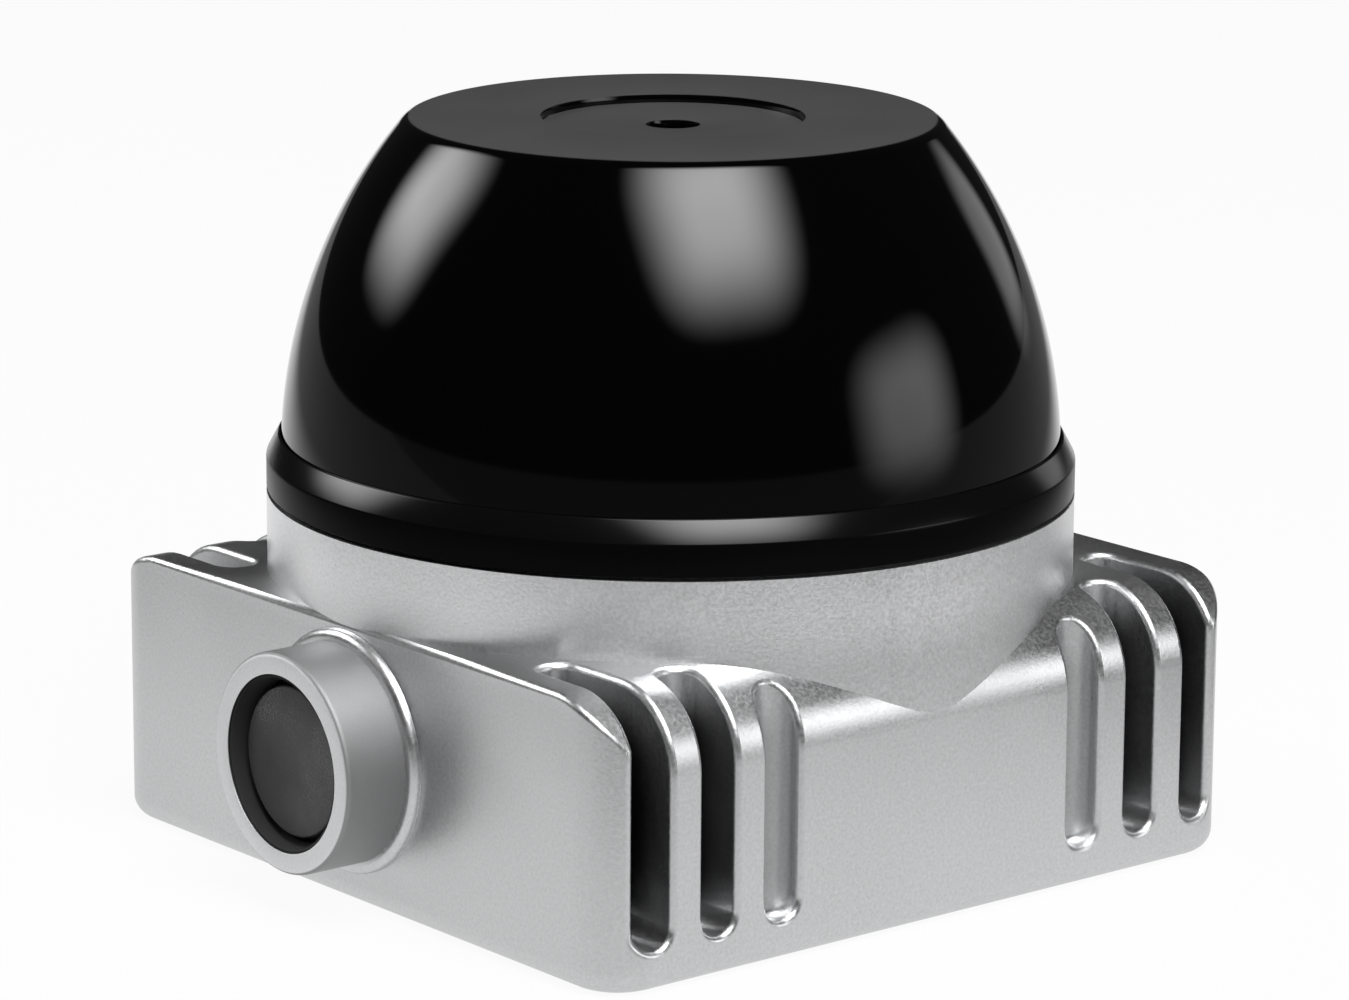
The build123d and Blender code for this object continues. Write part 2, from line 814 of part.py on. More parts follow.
processor.part.label = "processor"
export_step(processor.part, "parts/processor.step")

with BuildPart() as main_board:
    with BuildSketch(Plane.XY.offset(main_board_z)):
        Circle(main_board_radius)
        with Locations((main_board_chord, 0)):
            Rectangle(base_width, base_width, align=(Align.MIN, Align.CENTER), mode=Mode.INTERSECT)
        with boss_places:
            Circle(boss_radius + board_notch_clearance, mode=Mode.SUBTRACT)
        with standoff_places:
            Circle(m2_radius + m2_clearance, mode=Mode.SUBTRACT)
    extrude(amount=main_board_thickness)

main_board.part.label = "main_board"
export_step(main_board.part, "parts/main_board.step")

with BuildPart() as main_board_chips:
    with BuildSketch(Plane.XY.offset(main_board_top)):
        for chip_x, chip_y, chip_length, chip_width in chip_sites:
            with Locations((chip_x, chip_y)):
                Rectangle(chip_length, chip_width)
    extrude(amount=chip_height)

main_board_chips.part.label = "main_board_chips"
export_step(main_board_chips.part, "parts/main_board_chips.step")

# Hexagonal spacers between the main board and the deck, with a stud at the top and a thread below
with BuildPart() as board_standoffs:
    with BuildSketch(Plane.XY.offset(main_board_top)):
        with standoff_places:
            RegularPolygon(standoff_flat / 2, 6, major_radius=False)
    extrude(amount=deck_underside - main_board_top)
    with BuildSketch(Plane.XY.offset(deck_underside)):
        with standoff_places:
            Circle(m2_radius)
    extrude(amount=deck_thread_reach)
    with BuildSketch(Plane.XY.offset(main_board_top)):
        with standoff_places:
            Circle(m2_radius + thread_clearance)
    extrude(amount=board_screw_length - main_board_thickness + thread_run_out, mode=Mode.SUBTRACT)

board_standoffs.part.label = "board_standoffs"
export_step(board_standoffs.part, "parts/board_standoffs.step")

with BuildPart() as board_screws:
    add(board_screw_set)

board_screws.part.label = "board_screws"
export_step(board_screws.part, "parts/board_screws.step")

with BuildPart() as board_connector:
    with BuildSketch(Plane.XY.offset(main_board_top)):
        with Locations((0, board_connector_y)):
            Rectangle(board_connector_length, board_connector_width)
    extrude(amount=transceiver_gap)

board_connector.part.label = "board_connector"
export_step(board_connector.part, "parts/board_connector.step")

with BuildPart() as transceiver_board:
    with BuildSketch(Plane.XY.offset(transceiver_board_z)):
        Circle(transceiver_board_radius)
    extrude(amount=transceiver_board_thickness)

transceiver_board.part.label = "transceiver_board"
export_step(transceiver_board.part, "parts/transceiver_board.step")

with BuildPart() as laser_emitter:
    with BuildSketch(Plane.XY.offset(transceiver_z)):
        with Locations((emitter_x, 0)):
            Rectangle(emitter_size, emitter_size)
    extrude(amount=emitter_height)

laser_emitter.part.label = "laser_emitter"
export_step(laser_emitter.part, "parts/laser_emitter.step")

with BuildPart() as photo_detector:
    with BuildSketch(Plane.XY.offset(transceiver_z)):
        with Locations((detector_x, 0)):
            Rectangle(detector_size, detector_size)
    extrude(amount=detector_height)

photo_detector.part.label = "photo_detector"
export_step(photo_detector.part, "parts/photo_detector.step")

with BuildPart() as transceiver_body:
    with BuildSketch(Plane.XY.offset(transceiver_z)):
        Circle(transceiver_radius)
    extrude(amount=deck_underside - transceiver_z)
    with BuildSketch(Plane.XY.offset(deck_underside)):
        Circle(transceiver_flange_radius)
    extrude(amount=-transceiver_flange_thickness)
    with BuildSketch(Plane.XY.offset(deck_underside)):
        with transceiver_screw_places:
            Circle(m2_radius + m2_clearance)
    extrude(amount=-transceiver_flange_thickness, mode=Mode.SUBTRACT)
    with BuildSketch(Plane.XY.offset(transceiver_z)):
        Circle(transceiver_window_radius)
    extrude(amount=barrel_seat_z - transceiver_z, mode=Mode.SUBTRACT)
    with BuildSketch(Plane.XY.offset(barrel_seat_z)):
        Circle(lens_barrel_radius + lens_barrel_fit)
    extrude(amount=deck_underside - barrel_seat_z, mode=Mode.SUBTRACT)
    # the screw heads sink into the body where its side is nearer than they are
    with BuildSketch(Plane.XY.offset(deck_underside - transceiver_flange_thickness)):
        with transceiver_screw_places:
            Circle(m2_head_radius + m2_clearance)
    extrude(amount=-m2_head_height, mode=Mode.SUBTRACT)

transceiver_body.part.label = "transceiver_body"
export_step(transceiver_body.part, "parts/transceiver_body.step")

with BuildPart() as transceiver_screws:
    add(transceiver_screw_set)

transceiver_screws.part.label = "transceiver_screws"
export_step(transceiver_screws.part, "parts/transceiver_screws.step")

with BuildPart() as lens_barrel:
    with BuildSketch(Plane.XY.offset(barrel_seat_z)):
        Circle(lens_barrel_radius)
        Circle(lens_barrel_lip, mode=Mode.SUBTRACT)
    extrude(amount=lens_barrel_top - barrel_seat_z)
    with BuildSketch(Plane.XY.offset(lens_lip_top)):
        Circle(lens_barrel_bore)
    extrude(amount=lens_barrel_top - lens_lip_top, mode=Mode.SUBTRACT)
    with BuildSketch(Plane.XY.offset(objective_z)):
        Circle(objective_radius)
    extrude(amount=lens_barrel_top - objective_z, mode=Mode.SUBTRACT)

lens_barrel.part.label = "lens_barrel"
export_step(lens_barrel.part, "parts/lens_barrel.step")

# Two lenses, flat below and crowned above
lens_sizes = (
    ("field", lens_lip_top, lens_barrel_bore, field_edge, field_crown_radius, field_crown),
    ("objective", objective_z, objective_radius, objective_edge, objective_crown_radius, objective_crown),
)
for lens_name, lens_z, seat_radius, edge_height, crown_radius, crown_height in lens_sizes:
    lens_radius = seat_radius - lens_fit
    sphere_radius = (crown_radius**2 + crown_height**2) / (2 * crown_height)
    half_way_drop = sphere_radius - sqrt(sphere_radius**2 - (crown_radius / 2) ** 2)
    crown_foot = lens_z + edge_height
    with BuildPart() as lens:
        with BuildSketch(Plane.XZ):
            with BuildLine():
                Polyline(
                    (0, crown_foot + crown_height),
                    (0, lens_z),
                    (lens_radius, lens_z),
                    (lens_radius, crown_foot),
                    (crown_radius, crown_foot),
                )
                ThreePointArc(
                    (crown_radius, crown_foot),
                    (crown_radius / 2, crown_foot + crown_height - half_way_drop),
                    (0, crown_foot + crown_height),
                )
            make_face()
        revolve(axis=Axis.Z)
    lens.part.label = f"{lens_name}_lens"
    export_step(lens.part, f"parts/{lens_name}_lens.step")

with BuildPart() as lens_retaining_ring:
    with BuildSketch(Plane.XY.offset(objective_z + objective_edge)):
        Circle(objective_radius - lens_fit)
        Circle(objective_radius - lens_ring_width, mode=Mode.SUBTRACT)
    extrude(amount=lens_ring_height)

lens_retaining_ring.part.label = "lens_retaining_ring"
export_step(lens_retaining_ring.part, "parts/lens_retaining_ring.step")

# Frame of both rotors: a flange on the deck, a step for the outer motor and a tube for the bearings
with BuildPart() as rotor_frame:
    with BuildSketch(Plane.XZ):
        with BuildLine():
            Polyline(
                (frame_lip_inner, frame_bottom),
                (frame_flange_radius, frame_bottom),
                (frame_flange_radius, frame_flange_top),
                (frame_step_radius, frame_flange_top),
                (frame_step_radius, frame_step_top),
                (frame_tube_outer, frame_step_top),
                (frame_tube_outer, frame_top),
                (frame_tube_inner, frame_top),
                (frame_tube_inner, prism_bearing_z),
                (frame_lip_inner, prism_bearing_z),
                close=True,
            )
        make_face()
    revolve(axis=Axis.Z)
    with BuildSketch(Plane.XY.offset(head_bearing_top)):
        Circle(frame_tube_inner + clip_depth + clip_clearance)
    extrude(amount=clip_thickness + clip_clearance, mode=Mode.SUBTRACT)
    with BuildSketch(Plane.XY.offset(frame_bottom)):
        with frame_screw_places:
            Circle(m2_radius + m2_clearance)
        with Locations((0, motor_flex_y)):
            Rectangle(motor_flex_slot_length, motor_flex_slot_width)
    extrude(amount=frame_flange_thickness, mode=Mode.SUBTRACT)

rotor_frame.part.label = "rotor_frame"
export_step(rotor_frame.part, "parts/rotor_frame.step")

with BuildPart() as frame_screws:
    add(frame_screw_set)

frame_screws.part.label = "frame_screws"
export_step(frame_screws.part, "parts/frame_screws.step")

with BuildPart() as bearing_clip:
    with BuildSketch(Plane.XY.offset(head_bearing_top)):
        Circle(frame_tube_inner + clip_depth)
        Circle(clip_inner, mode=Mode.SUBTRACT)
        with Locations((frame_tube_inner, 0)):
            Rectangle(2 * clip_opening, clip_opening, mode=Mode.SUBTRACT)
    extrude(amount=clip_thickness)

bearing_clip.part.label = "bearing_clip"
export_step(bearing_clip.part, "parts/bearing_clip.step")

# The two ball bearings are alike: races, balls and cage
for rotor, bearing_z in (("prism", prism_bearing_z), ("head", head_bearing_z)):
    bearing_mid = bearing_z + bearing_width / 2
    pocket_radius = ball_radius + ball_clearance
    for race_name, race_inner, race_outer in (
        ("outer", frame_tube_inner - bearing_outer_race, race_radius),
        ("inner", bearing_bore, bearing_bore + bearing_inner_race),
    ):
        with BuildPart() as race:
            with BuildSketch(Plane.XZ):
                with Locations((race_inner, bearing_z)):
                    Rectangle(race_outer - race_inner, bearing_width, align=(Align.MIN, Align.MIN))
                with Locations((ball_circle, bearing_mid)):
                    Circle(ball_radius + ball_clearance, mode=Mode.SUBTRACT)
            revolve(axis=Axis.Z)
        race.part.label = f"{rotor}_bearing_{race_name}_race"
        export_step(race.part, f"parts/{rotor}_bearing_{race_name}_race.step")
    with BuildPart() as balls:
        with Locations((0, 0, bearing_mid)):
            with PolarLocations(ball_circle, ball_count):
                Sphere(ball_radius)
    balls.part.label = f"{rotor}_bearing_balls"
    export_step(balls.part, f"parts/{rotor}_bearing_balls.step")
    with BuildPart() as cage:
        with BuildSketch(Plane.XY.offset(bearing_mid - cage_half_height)):
            Circle(ball_circle + cage_half_width)
            Circle(ball_circle - cage_half_width, mode=Mode.SUBTRACT)
        extrude(amount=2 * cage_half_height)
        with Locations((0, 0, bearing_mid)):
            with PolarLocations(ball_circle, ball_count):
                Cylinder(pocket_radius, 4 * cage_half_width, rotation=(0, 90, 0), mode=Mode.SUBTRACT)
    cage.part.label = f"{rotor}_bearing_cage"
    export_step(cage.part, f"parts/{rotor}_bearing_cage.step")

# Motor of the prism: teeth point inwards, from a ring between the two bearings
with BuildPart() as prism_motor_stator:
    stator_inner = frame_tube_inner - prism_stator_ring
    with BuildSketch(Plane.XY.offset(prism_stator_z)):
        Circle(race_radius)
        Circle(stator_inner, mode=Mode.SUBTRACT)
    extrude(amount=motor_stack_height)
    tooth_length = stator_inner + tooth_root - prism_tooth_inner
    with BuildSketch(Plane.XY.offset(prism_motor_mid - tooth_height / 2)):
        with PolarLocations(prism_tooth_inner, prism_tooth_count):
            Rectangle(tooth_length, tooth_width, align=(Align.MIN, Align.CENTER))
    extrude(amount=tooth_height)

prism_motor_stator.part.label = "prism_motor_stator"
export_step(prism_motor_stator.part, "parts/prism_motor_stator.step")

with BuildPart() as prism_motor_coils:
    coil_start = prism_tooth_inner + prism_coil_gap
    coil_depth = stator_inner - prism_coil_gap - coil_start
    with Locations((0, 0, prism_motor_mid)):
        with PolarLocations(coil_start + coil_depth / 2, prism_tooth_count):
            Box(coil_depth, prism_coil_width, prism_coil_height)
            Box(
                coil_depth,
                tooth_width + 2 * coil_clearance,
                tooth_height + 2 * coil_clearance,
                mode=Mode.SUBTRACT,
            )

prism_motor_coils.part.label = "prism_motor_coils"
export_step(prism_motor_coils.part, "parts/prism_motor_coils.step")

# Motor of the scan head: teeth point outwards, from a ring on the frame's step
with BuildPart() as head_motor_stator:
    with BuildSketch(Plane.XY.offset(frame_step_top)):
        Circle(frame_step_radius)
        Circle(frame_tube_outer + bearing_fit, mode=Mode.SUBTRACT)
    extrude(amount=head_stator_height)
    head_tooth_length = head_tooth_outer - frame_step_radius + tooth_root
    with BuildSketch(Plane.XY.offset(head_motor_mid - head_tooth_height / 2)):
        with PolarLocations(head_tooth_outer, head_tooth_count):
            Rectangle(head_tooth_length, head_tooth_width, align=(Align.MAX, Align.CENTER))
    extrude(amount=head_tooth_height)

head_motor_stator.part.label = "head_motor_stator"
export_step(head_motor_stator.part, "parts/head_motor_stator.step")

with BuildPart() as head_motor_coils:
    head_coil_start = frame_step_radius + coil_clearance
    head_coil_depth = head_tooth_outer - head_coil_gap - head_coil_start
    with Locations((0, 0, head_motor_mid)):
        with PolarLocations(head_coil_start + head_coil_depth / 2, head_tooth_count):
            Box(head_coil_depth, head_coil_width, head_coil_height)
            Box(
                head_coil_depth,
                head_tooth_width + 2 * coil_clearance,
                head_tooth_height + 2 * coil_clearance,
                mode=Mode.SUBTRACT,
            )

head_motor_coils.part.label = "head_motor_coils"
export_step(head_motor_coils.part, "parts/head_motor_coils.step")

with BuildPart() as motor_board:
    with BuildSketch(Plane.XY.offset(frame_flange_top)):
        Circle(motor_board_outer)
        Circle(motor_board_inner, mode=Mode.SUBTRACT)
    extrude(amount=motor_board_thickness)

motor_board.part.label = "motor_board"
export_step(motor_board.part, "parts/motor_board.step")

with BuildPart() as encoder_reader:
    with BuildSketch(Plane.XY.offset(motor_board_top)):
        with Locations(((motor_board_inner + motor_board_outer) / 2, 0)):
            Rectangle(encoder_reader_length, encoder_reader_width)
    extrude(amount=encoder_z - encoder_air_gap - motor_board_top)

encoder_reader.part.label = "encoder_reader"
export_step(encoder_reader.part, "parts/encoder_reader.step")

with BuildPart() as motor_flex_socket:
    with BuildSketch(Plane.XY.offset(main_board_top)):
        with Locations((0, motor_flex_y)):
            Rectangle(motor_socket_length, motor_socket_width)
    extrude(amount=motor_socket_height)

motor_flex_socket.part.label = "motor_flex_socket"
export_step(motor_flex_socket.part, "parts/motor_flex_socket.step")

with BuildPart() as motor_flex_circuit:
    with BuildSketch(Plane.XY.offset(main_board_top + motor_socket_height)):
        with Locations((0, motor_flex_y)):
            Rectangle(motor_flex_width, motor_flex_thickness)
    extrude(amount=frame_flange_top - main_board_top - motor_socket_height)

motor_flex_circuit.part.label = "motor_flex_circuit"
export_step(motor_flex_circuit.part, "parts/motor_flex_circuit.step")

# Lower rotor: a sleeve in the first bearing, with the wedge prism on the sleeve's lip
with BuildPart() as prism_sleeve:
    with BuildSketch(Plane.XY.offset(prism_bearing_z)):
        Circle(sleeve_radius)
        Circle(prism_sleeve_lip, mode=Mode.SUBTRACT)
    extrude(amount=prism_sleeve_top - prism_bearing_z)
    with BuildSketch(Plane.XY.offset(prism_bearing_z + prism_sleeve_lip_height)):
        Circle(prism_sleeve_bore)
    extrude(amount=prism_sleeve_top - prism_bearing_z, mode=Mode.SUBTRACT)

prism_sleeve.part.label = "prism_sleeve"
export_step(prism_sleeve.part, "parts/prism_sleeve.step")

with BuildPart() as wedge_prism:
    prism_radius = prism_sleeve_bore - prism_seat_fit
    prism_z = prism_bearing_z + prism_sleeve_lip_height
    with BuildSketch(Plane.XY.offset(prism_z)):
        Circle(prism_radius)
    extrude(amount=prism_thin + 2 * prism_radius)
    with BuildSketch(Plane.XZ):
        with BuildLine():
            Polyline(
                (-prism_radius, prism_z),
                (prism_radius, prism_z),
                (prism_radius, prism_z + prism_thin + 2 * prism_radius * tan(radians(prism_angle))),
                (-prism_radius, prism_z + prism_thin),
                close=True,
            )
        make_face()
    extrude(amount=2 * prism_radius, both=True, mode=Mode.INTERSECT)

wedge_prism.part.label = "wedge_prism"
export_step(wedge_prism.part, "parts/wedge_prism.step")

with BuildPart() as prism_magnets:
    with BuildSketch(Plane.XY.offset(prism_stator_z + prism_magnet_rise)):
        Circle(bearing_bore + prism_magnet_thickness)
        Circle(bearing_bore, mode=Mode.SUBTRACT)
        with PolarLocations(bearing_bore, magnet_count):
            Rectangle(4 * prism_magnet_thickness, magnet_gap, mode=Mode.SUBTRACT)
    extrude(amount=prism_magnet_height)

prism_magnets.part.label = "prism_magnets"
export_step(prism_magnets.part, "parts/prism_magnets.step")

# Upper rotor: a sleeve in the second bearing, a plate over the frame and a skirt round its motor
with BuildPart() as scan_head_hub:
    skirt_inner = head_radius - head_skirt_wall
    with BuildSketch(Plane.XZ):
        with BuildLine():
            Polyline(
                (head_bore, head_bearing_z),
                (sleeve_radius, head_bearing_z),
                (sleeve_radius, head_bearing_top),
                (head_shoulder_radius, head_bearing_top),
                (head_shoulder_radius, head_plate_z),
                (skirt_inner, head_plate_z),
                (skirt_inner, head_skirt_bottom),
                (head_radius, head_skirt_bottom),
                (head_radius, head_plate_top),
                (head_bore, head_plate_top),
                close=True,
            )
        make_face()
    revolve(axis=Axis.Z)
    fillet(scan_head_hub.edges().group_by(Axis.Z)[-1].sort_by(SortBy.RADIUS)[-1], head_edge)
    with BuildSketch(Plane.XY.offset(head_plate_z)):
        with Locations((bracket_screw_x, 0)):
            with GridLocations(0, 2 * bracket_screw_y, 1, 2):
                Circle(m2_radius + thread_clearance)
    extrude(amount=head_plate_thickness, mode=Mode.SUBTRACT)

scan_head_hub.part.label = "scan_head_hub"
export_step(scan_head_hub.part, "parts/scan_head_hub.step")

with BuildPart() as head_magnets:
    magnet_outer = skirt_inner - bearing_fit
    with BuildSketch(Plane.XY.offset(head_motor_mid - head_magnet_height / 2)):
        Circle(magnet_outer)
        Circle(skirt_inner - head_magnet_thickness, mode=Mode.SUBTRACT)
        with PolarLocations(magnet_outer, magnet_count):
            Rectangle(4 * head_magnet_thickness, magnet_gap, mode=Mode.SUBTRACT)
    extrude(amount=head_magnet_height)

head_magnets.part.label = "head_magnets"
export_step(head_magnets.part, "parts/head_magnets.step")

with BuildPart() as encoder_disc:
    with BuildSketch(Plane.XY.offset(encoder_z)):
        Circle(head_radius)
        Circle(encoder_inner, mode=Mode.SUBTRACT)
        with PolarLocations(encoder_track_radius, encoder_slot_count):
            Rectangle(encoder_slot_length, encoder_slot_width, mode=Mode.SUBTRACT)
    extrude(amount=encoder_thickness)

encoder_disc.part.label = "encoder_disc"
export_step(encoder_disc.part, "parts/encoder_disc.step")

# The mirror stands at 45 degrees over the hub's bore and faces +X; the bracket is behind it
mirror_back = mirror_thickness / sqrt(2)
mirror_low = mirror_centre_z - mirror_half_rise
mirror_high = mirror_centre_z + mirror_half_rise

with BuildPart() as scan_mirror:
    with BuildSketch(Plane.XZ):
        with BuildLine():
            Polyline(
                (-mirror_half_rise, mirror_low),
                (mirror_half_rise, mirror_high),
                (mirror_half_rise - mirror_back, mirror_high + mirror_back),
                (-mirror_half_rise - mirror_back, mirror_low + mirror_back),
                close=True,
            )
        make_face()
    extrude(amount=mirror_width / 2, both=True)

scan_mirror.part.label = "scan_mirror"
export_step(scan_mirror.part, "parts/scan_mirror.step")

with BuildPart() as mirror_bracket:
    back_low = (-mirror_half_rise - mirror_back, mirror_low + mirror_back)
    back_high = (mirror_half_rise - 2 * mirror_back, mirror_high)
    with BuildSketch(Plane.XZ):
        with BuildLine():
            Polyline(
                (bracket_foot_front, head_plate_top),
                back_low,
                back_high,
                (back_high[0] - bracket_wall, mirror_high),
                (bracket_foot_rear, head_plate_top + bracket_foot_height),
                (bracket_foot_rear, head_plate_top),
                close=True,
            )
        make_face()
    extrude(amount=bracket_width / 2, both=True)
    # the hollow between the two ribs, open to the rear
    with BuildSketch(Plane.XZ):
        with BuildLine():
            Polyline(
                (bracket_foot_front - bracket_wall, head_plate_top + bracket_foot_height),
                (back_low[0] - bracket_wall, back_low[1] + bracket_foot_height),
                (back_high[0] - bracket_wall, mirror_high),
                (bracket_foot_rear, mirror_high),
                (bracket_foot_rear, head_plate_top + bracket_foot_height),
                close=True,
            )
        make_face()
    extrude(amount=bracket_width / 2 - bracket_rib, both=True, mode=Mode.SUBTRACT)
    with BuildSketch(Plane.XY.offset(head_plate_top)):
        with Locations((bracket_screw_x, 0)):
            with GridLocations(0, 2 * bracket_screw_y, 1, 2):
                Circle(m2_radius + m2_clearance)
    extrude(amount=bracket_foot_height, mode=Mode.SUBTRACT)

mirror_bracket.part.label = "mirror_bracket"
export_step(mirror_bracket.part, "parts/mirror_bracket.step")

with BuildPart() as bracket_screws:
    add(bracket_screw_set)

bracket_screws.part.label = "bracket_screws"
export_step(bracket_screws.part, "parts/bracket_screws.step")

with BuildPart() as balance_weight:
    with BuildSketch(Plane.XY.offset(head_plate_top)):
        with BuildLine():
            outer_arc = CenterArc((0, 0), weight_outer, -weight_angle / 2, weight_angle)
            inner_arc = CenterArc((0, 0), weight_inner, -weight_angle / 2, weight_angle)
            Line(outer_arc @ 0, inner_arc @ 0)
            Line(outer_arc @ 1, inner_arc @ 1)
        make_face()
    extrude(amount=weight_height)

balance_weight.part.label = "balance_weight"
export_step(balance_weight.part, "parts/balance_weight.step")
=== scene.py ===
import math

import bmesh
import bpy
from bpy.props import FloatProperty, FloatVectorProperty, IntProperty, PointerProperty
from bpy.types import NodeSocket, Operator, Panel, PropertyGroup
from mathutils import Matrix, Vector


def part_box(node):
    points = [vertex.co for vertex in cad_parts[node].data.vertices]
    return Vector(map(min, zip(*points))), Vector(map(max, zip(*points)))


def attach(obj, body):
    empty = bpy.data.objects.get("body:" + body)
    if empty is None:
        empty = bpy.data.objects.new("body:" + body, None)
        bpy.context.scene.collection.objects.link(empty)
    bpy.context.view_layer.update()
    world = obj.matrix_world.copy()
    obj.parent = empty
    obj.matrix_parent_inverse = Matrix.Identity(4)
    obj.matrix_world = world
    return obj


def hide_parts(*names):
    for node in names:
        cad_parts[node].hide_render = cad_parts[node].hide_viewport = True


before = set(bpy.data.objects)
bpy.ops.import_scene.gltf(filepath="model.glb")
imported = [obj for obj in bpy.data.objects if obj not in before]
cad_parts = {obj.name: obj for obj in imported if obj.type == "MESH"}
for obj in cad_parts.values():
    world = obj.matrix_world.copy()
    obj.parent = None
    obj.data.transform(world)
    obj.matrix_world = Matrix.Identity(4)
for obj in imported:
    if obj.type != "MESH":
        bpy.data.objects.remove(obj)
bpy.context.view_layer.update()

bl_info = {
    "name": "Dome Scanner",
    "version": (1, 0, 0),
    "blender": (4, 5, 0),
    "location": "3D View > Sidebar > Scanner",
    "description": "Finished pieces, materials and studio of a compact dome scanner",
    "category": "Add Mesh",
}

MM = 0.001
FULL_TURN = 2 * math.pi
HARD_EDGE = math.radians(40)
AXIS_X, AXIS_Y, AXIS_Z = Vector((1, 0, 0)), Vector((0, 1, 0)), Vector((0, 0, 1))
# specular level of the dull black pieces
DULL = 0.02
SAME_POINT = 0.002 * MM
ON_CURVE = 0.01 * MM
# cosines: a face square to an axis, and a face that looks out of its cylinder
SQUARE_ON = 0.99999
OUTWARD = 0.9

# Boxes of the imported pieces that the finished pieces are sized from
dome_low, dome_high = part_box("dome_window")
ring_low, ring_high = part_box("window_ring")
gasket_low, gasket_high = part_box("window_gasket")
shell_low, shell_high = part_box("connector_shell")
connector_height = (shell_low.z + shell_high.z) / 2
base_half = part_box("base_housing")[1].x


def length(name, description, default):
    """A size in metres, given here in millimetres."""
    return FloatProperty(
        name=name, description=description, default=default * MM, unit="LENGTH", precision=5
    )


def tint(name, description, default):
    """A linear colour."""
    return FloatVectorProperty(
        name=name, description=description, default=default, subtype="COLOR", size=3, min=0, max=1
    )


def share(name, description, default):
    """A plain number from 0 to 1."""
    return FloatProperty(
        name=name, description=description, default=default, min=0, max=1, subtype="FACTOR"
    )


def amount(name, description, default, least=0):
    """A plain number of any size."""
    return FloatProperty(name=name, description=description, default=default, min=least)


def step_count(around, default, least):
    """A number of steps round a piece."""
    return IntProperty(
        name="Segments", description=f"Steps round the {around}", default=default, min=least
    )


def turn(name, description, degrees):
    """An angle, given here in degrees."""
    return FloatProperty(
        name=name, description=description, default=math.radians(degrees), subtype="ANGLE"
    )


class DomeSizes(PropertyGroup):
    wall_radius: length("Wall radius", "Outside radius of the wall above the flange", 31.25)
    wall: length("Wall", "Thickness of the moulded wall", 2.2)
    straight_top: length("Straight top", "Height where the wall starts to curve in", 33.3)
    crown_radius: length("Crown radius", "Radius of the crown half way up", 28.75)
    crown_height: length("Crown height", "Height of that half-way point", 46.0)
    shoulder_radius: length("Shoulder radius", "Radius where the crown meets the rim", 21.7)
    shoulder_height: length("Shoulder height", "Height of that rim's lower end", 58.4)
    top_radius: length("Top radius", "Radius of the flat top", 20.8)
    flange_height: length("Flange height", "Thickness of the flange under the ring", 1.3)
    inner_top: length("Inner top", "Height of the cavity's flat ceiling", 56.0)
    pocket_radius: length("Pocket radius", "Radius of the shallow round pocket in the top", 10.5)
    pocket_depth: length("Pocket depth", "Depth of the pocket", 0.7)
    dimple_radius: length("Dimple radius", "Radius of the dimple in the pocket's middle", 2.15)
    dimple_depth: length("Dimple depth", "Depth of the dimple below the pocket", 0.9)
    colour: tint("Colour", "Colour of the infrared-clear plastic", (0.0006, 0.0006, 0.0007))
    top_colour: tint("Top colour", "Colour of the etched flat top", (0.042, 0.042, 0.043))
    gloss: share("Roughness", "Roughness of the polished wall", 0.06)
    top_roughness: share("Top roughness", "Roughness of the etched flat top", 0.5)
    shine: share("Shine", "Specular level of the plastic", 0.27)
    edge: length("Edge", "Rounding of the pocket's and the dimple's edges", 0.08)
    segments: step_count("dome", 256, 32)


class RingSizes(PropertyGroup):
    band_height: length("Band height", "Height of the ring's straight band", 2.5)
    inner_radius: length("Inner radius", "Radius of the ring's mouth", 31.32)
    lip: length("Lip", "Width of the flat at the ring's top", 0.15)
    flange_room: length("Flange room", "Height of the recess for the dome's flange", 1.37)
    edge: length("Edge", "Rounding of the ring's outer edges", 0.12)
    gasket_inner: length("Gasket inner radius", "Inner radius of the gasket", 29.7)
    colour: tint("Colour", "Colour of the black ring", (0.002, 0.002, 0.0022))
    roughness: share("Roughness", "Roughness of the ring's band", 0.22)
    coat: share("Coat", "Gloss of the ring's chamfer", 0.5)
    coat_roughness: share("Coat roughness", "Roughness of that gloss", 0.15)
    segments: step_count("ring", 192, 32)


class HousingFinish(PropertyGroup):
    colour: tint("Colour", "Colour of the blasted aluminium", (0.56, 0.564, 0.57))
    # painted shade: the colour that stands in for the shade deep inside the cooling slots
    shade: tint("Shade", "Colour deep inside the cooling slots", (0.06, 0.06, 0.061))
    roughness: share("Roughness", "Roughness of the blasted surface", 0.36)
    grain: length("Grain", "Size of the blasted grain", 0.28)
    contrast: share("Grain contrast", "How much the grain's tone varies", 0.5)
    patches: share("Patches", "How much the tone of broad patches varies", 0.15)
    grain_depth: length("Grain depth", "Depth of the blasted grain", 0.013)
    # painted light: the collar is made lighter than the same casting below it
    collar_level: amount("Collar level", "Tone of the collar against the base", 1.42)
    shoulder: length("Shoulder", "Radius of the long sides' shoulders", 6.5)
    top: length("Top", "Height of the square base", 22.7)


class ConnectorSizes(PropertyGroup):
    bore: length("Bore", "Radius of the barrel's bore", 7.0)
    shank: length("Shank", "Radius of the shank in the wall", 8.0)
    lip: length("Lip", "Radius of the lip behind the insert", 6.2)
    lip_depth: length("Lip depth", "Thickness of that lip", 1.0)
    edge: length("Edge", "Rounding of the barrel's front edge", 0.45)
    bore_edge: length("Bore edge", "Rounding of the bore's front edge", 0.15)
    barrel: length("Barrel", "Length of the barrel in front of the raised ring", 5.5)
    side_roughness: share("Side roughness", "Roughness of the barrel's side", 0.62)
    side_level: share("Side level", "Tone of the barrel's side against the base", 0.52)
    bore_level: share("Bore level", "Tone of the blackened bore against the base", 0.06)
    # painted highlight: the rim's front face is made lighter than the barrel's side
    face_level: amount("Face level", "Tone of the rim against the base", 1.3)
    segments: step_count("connector", 128, 24)


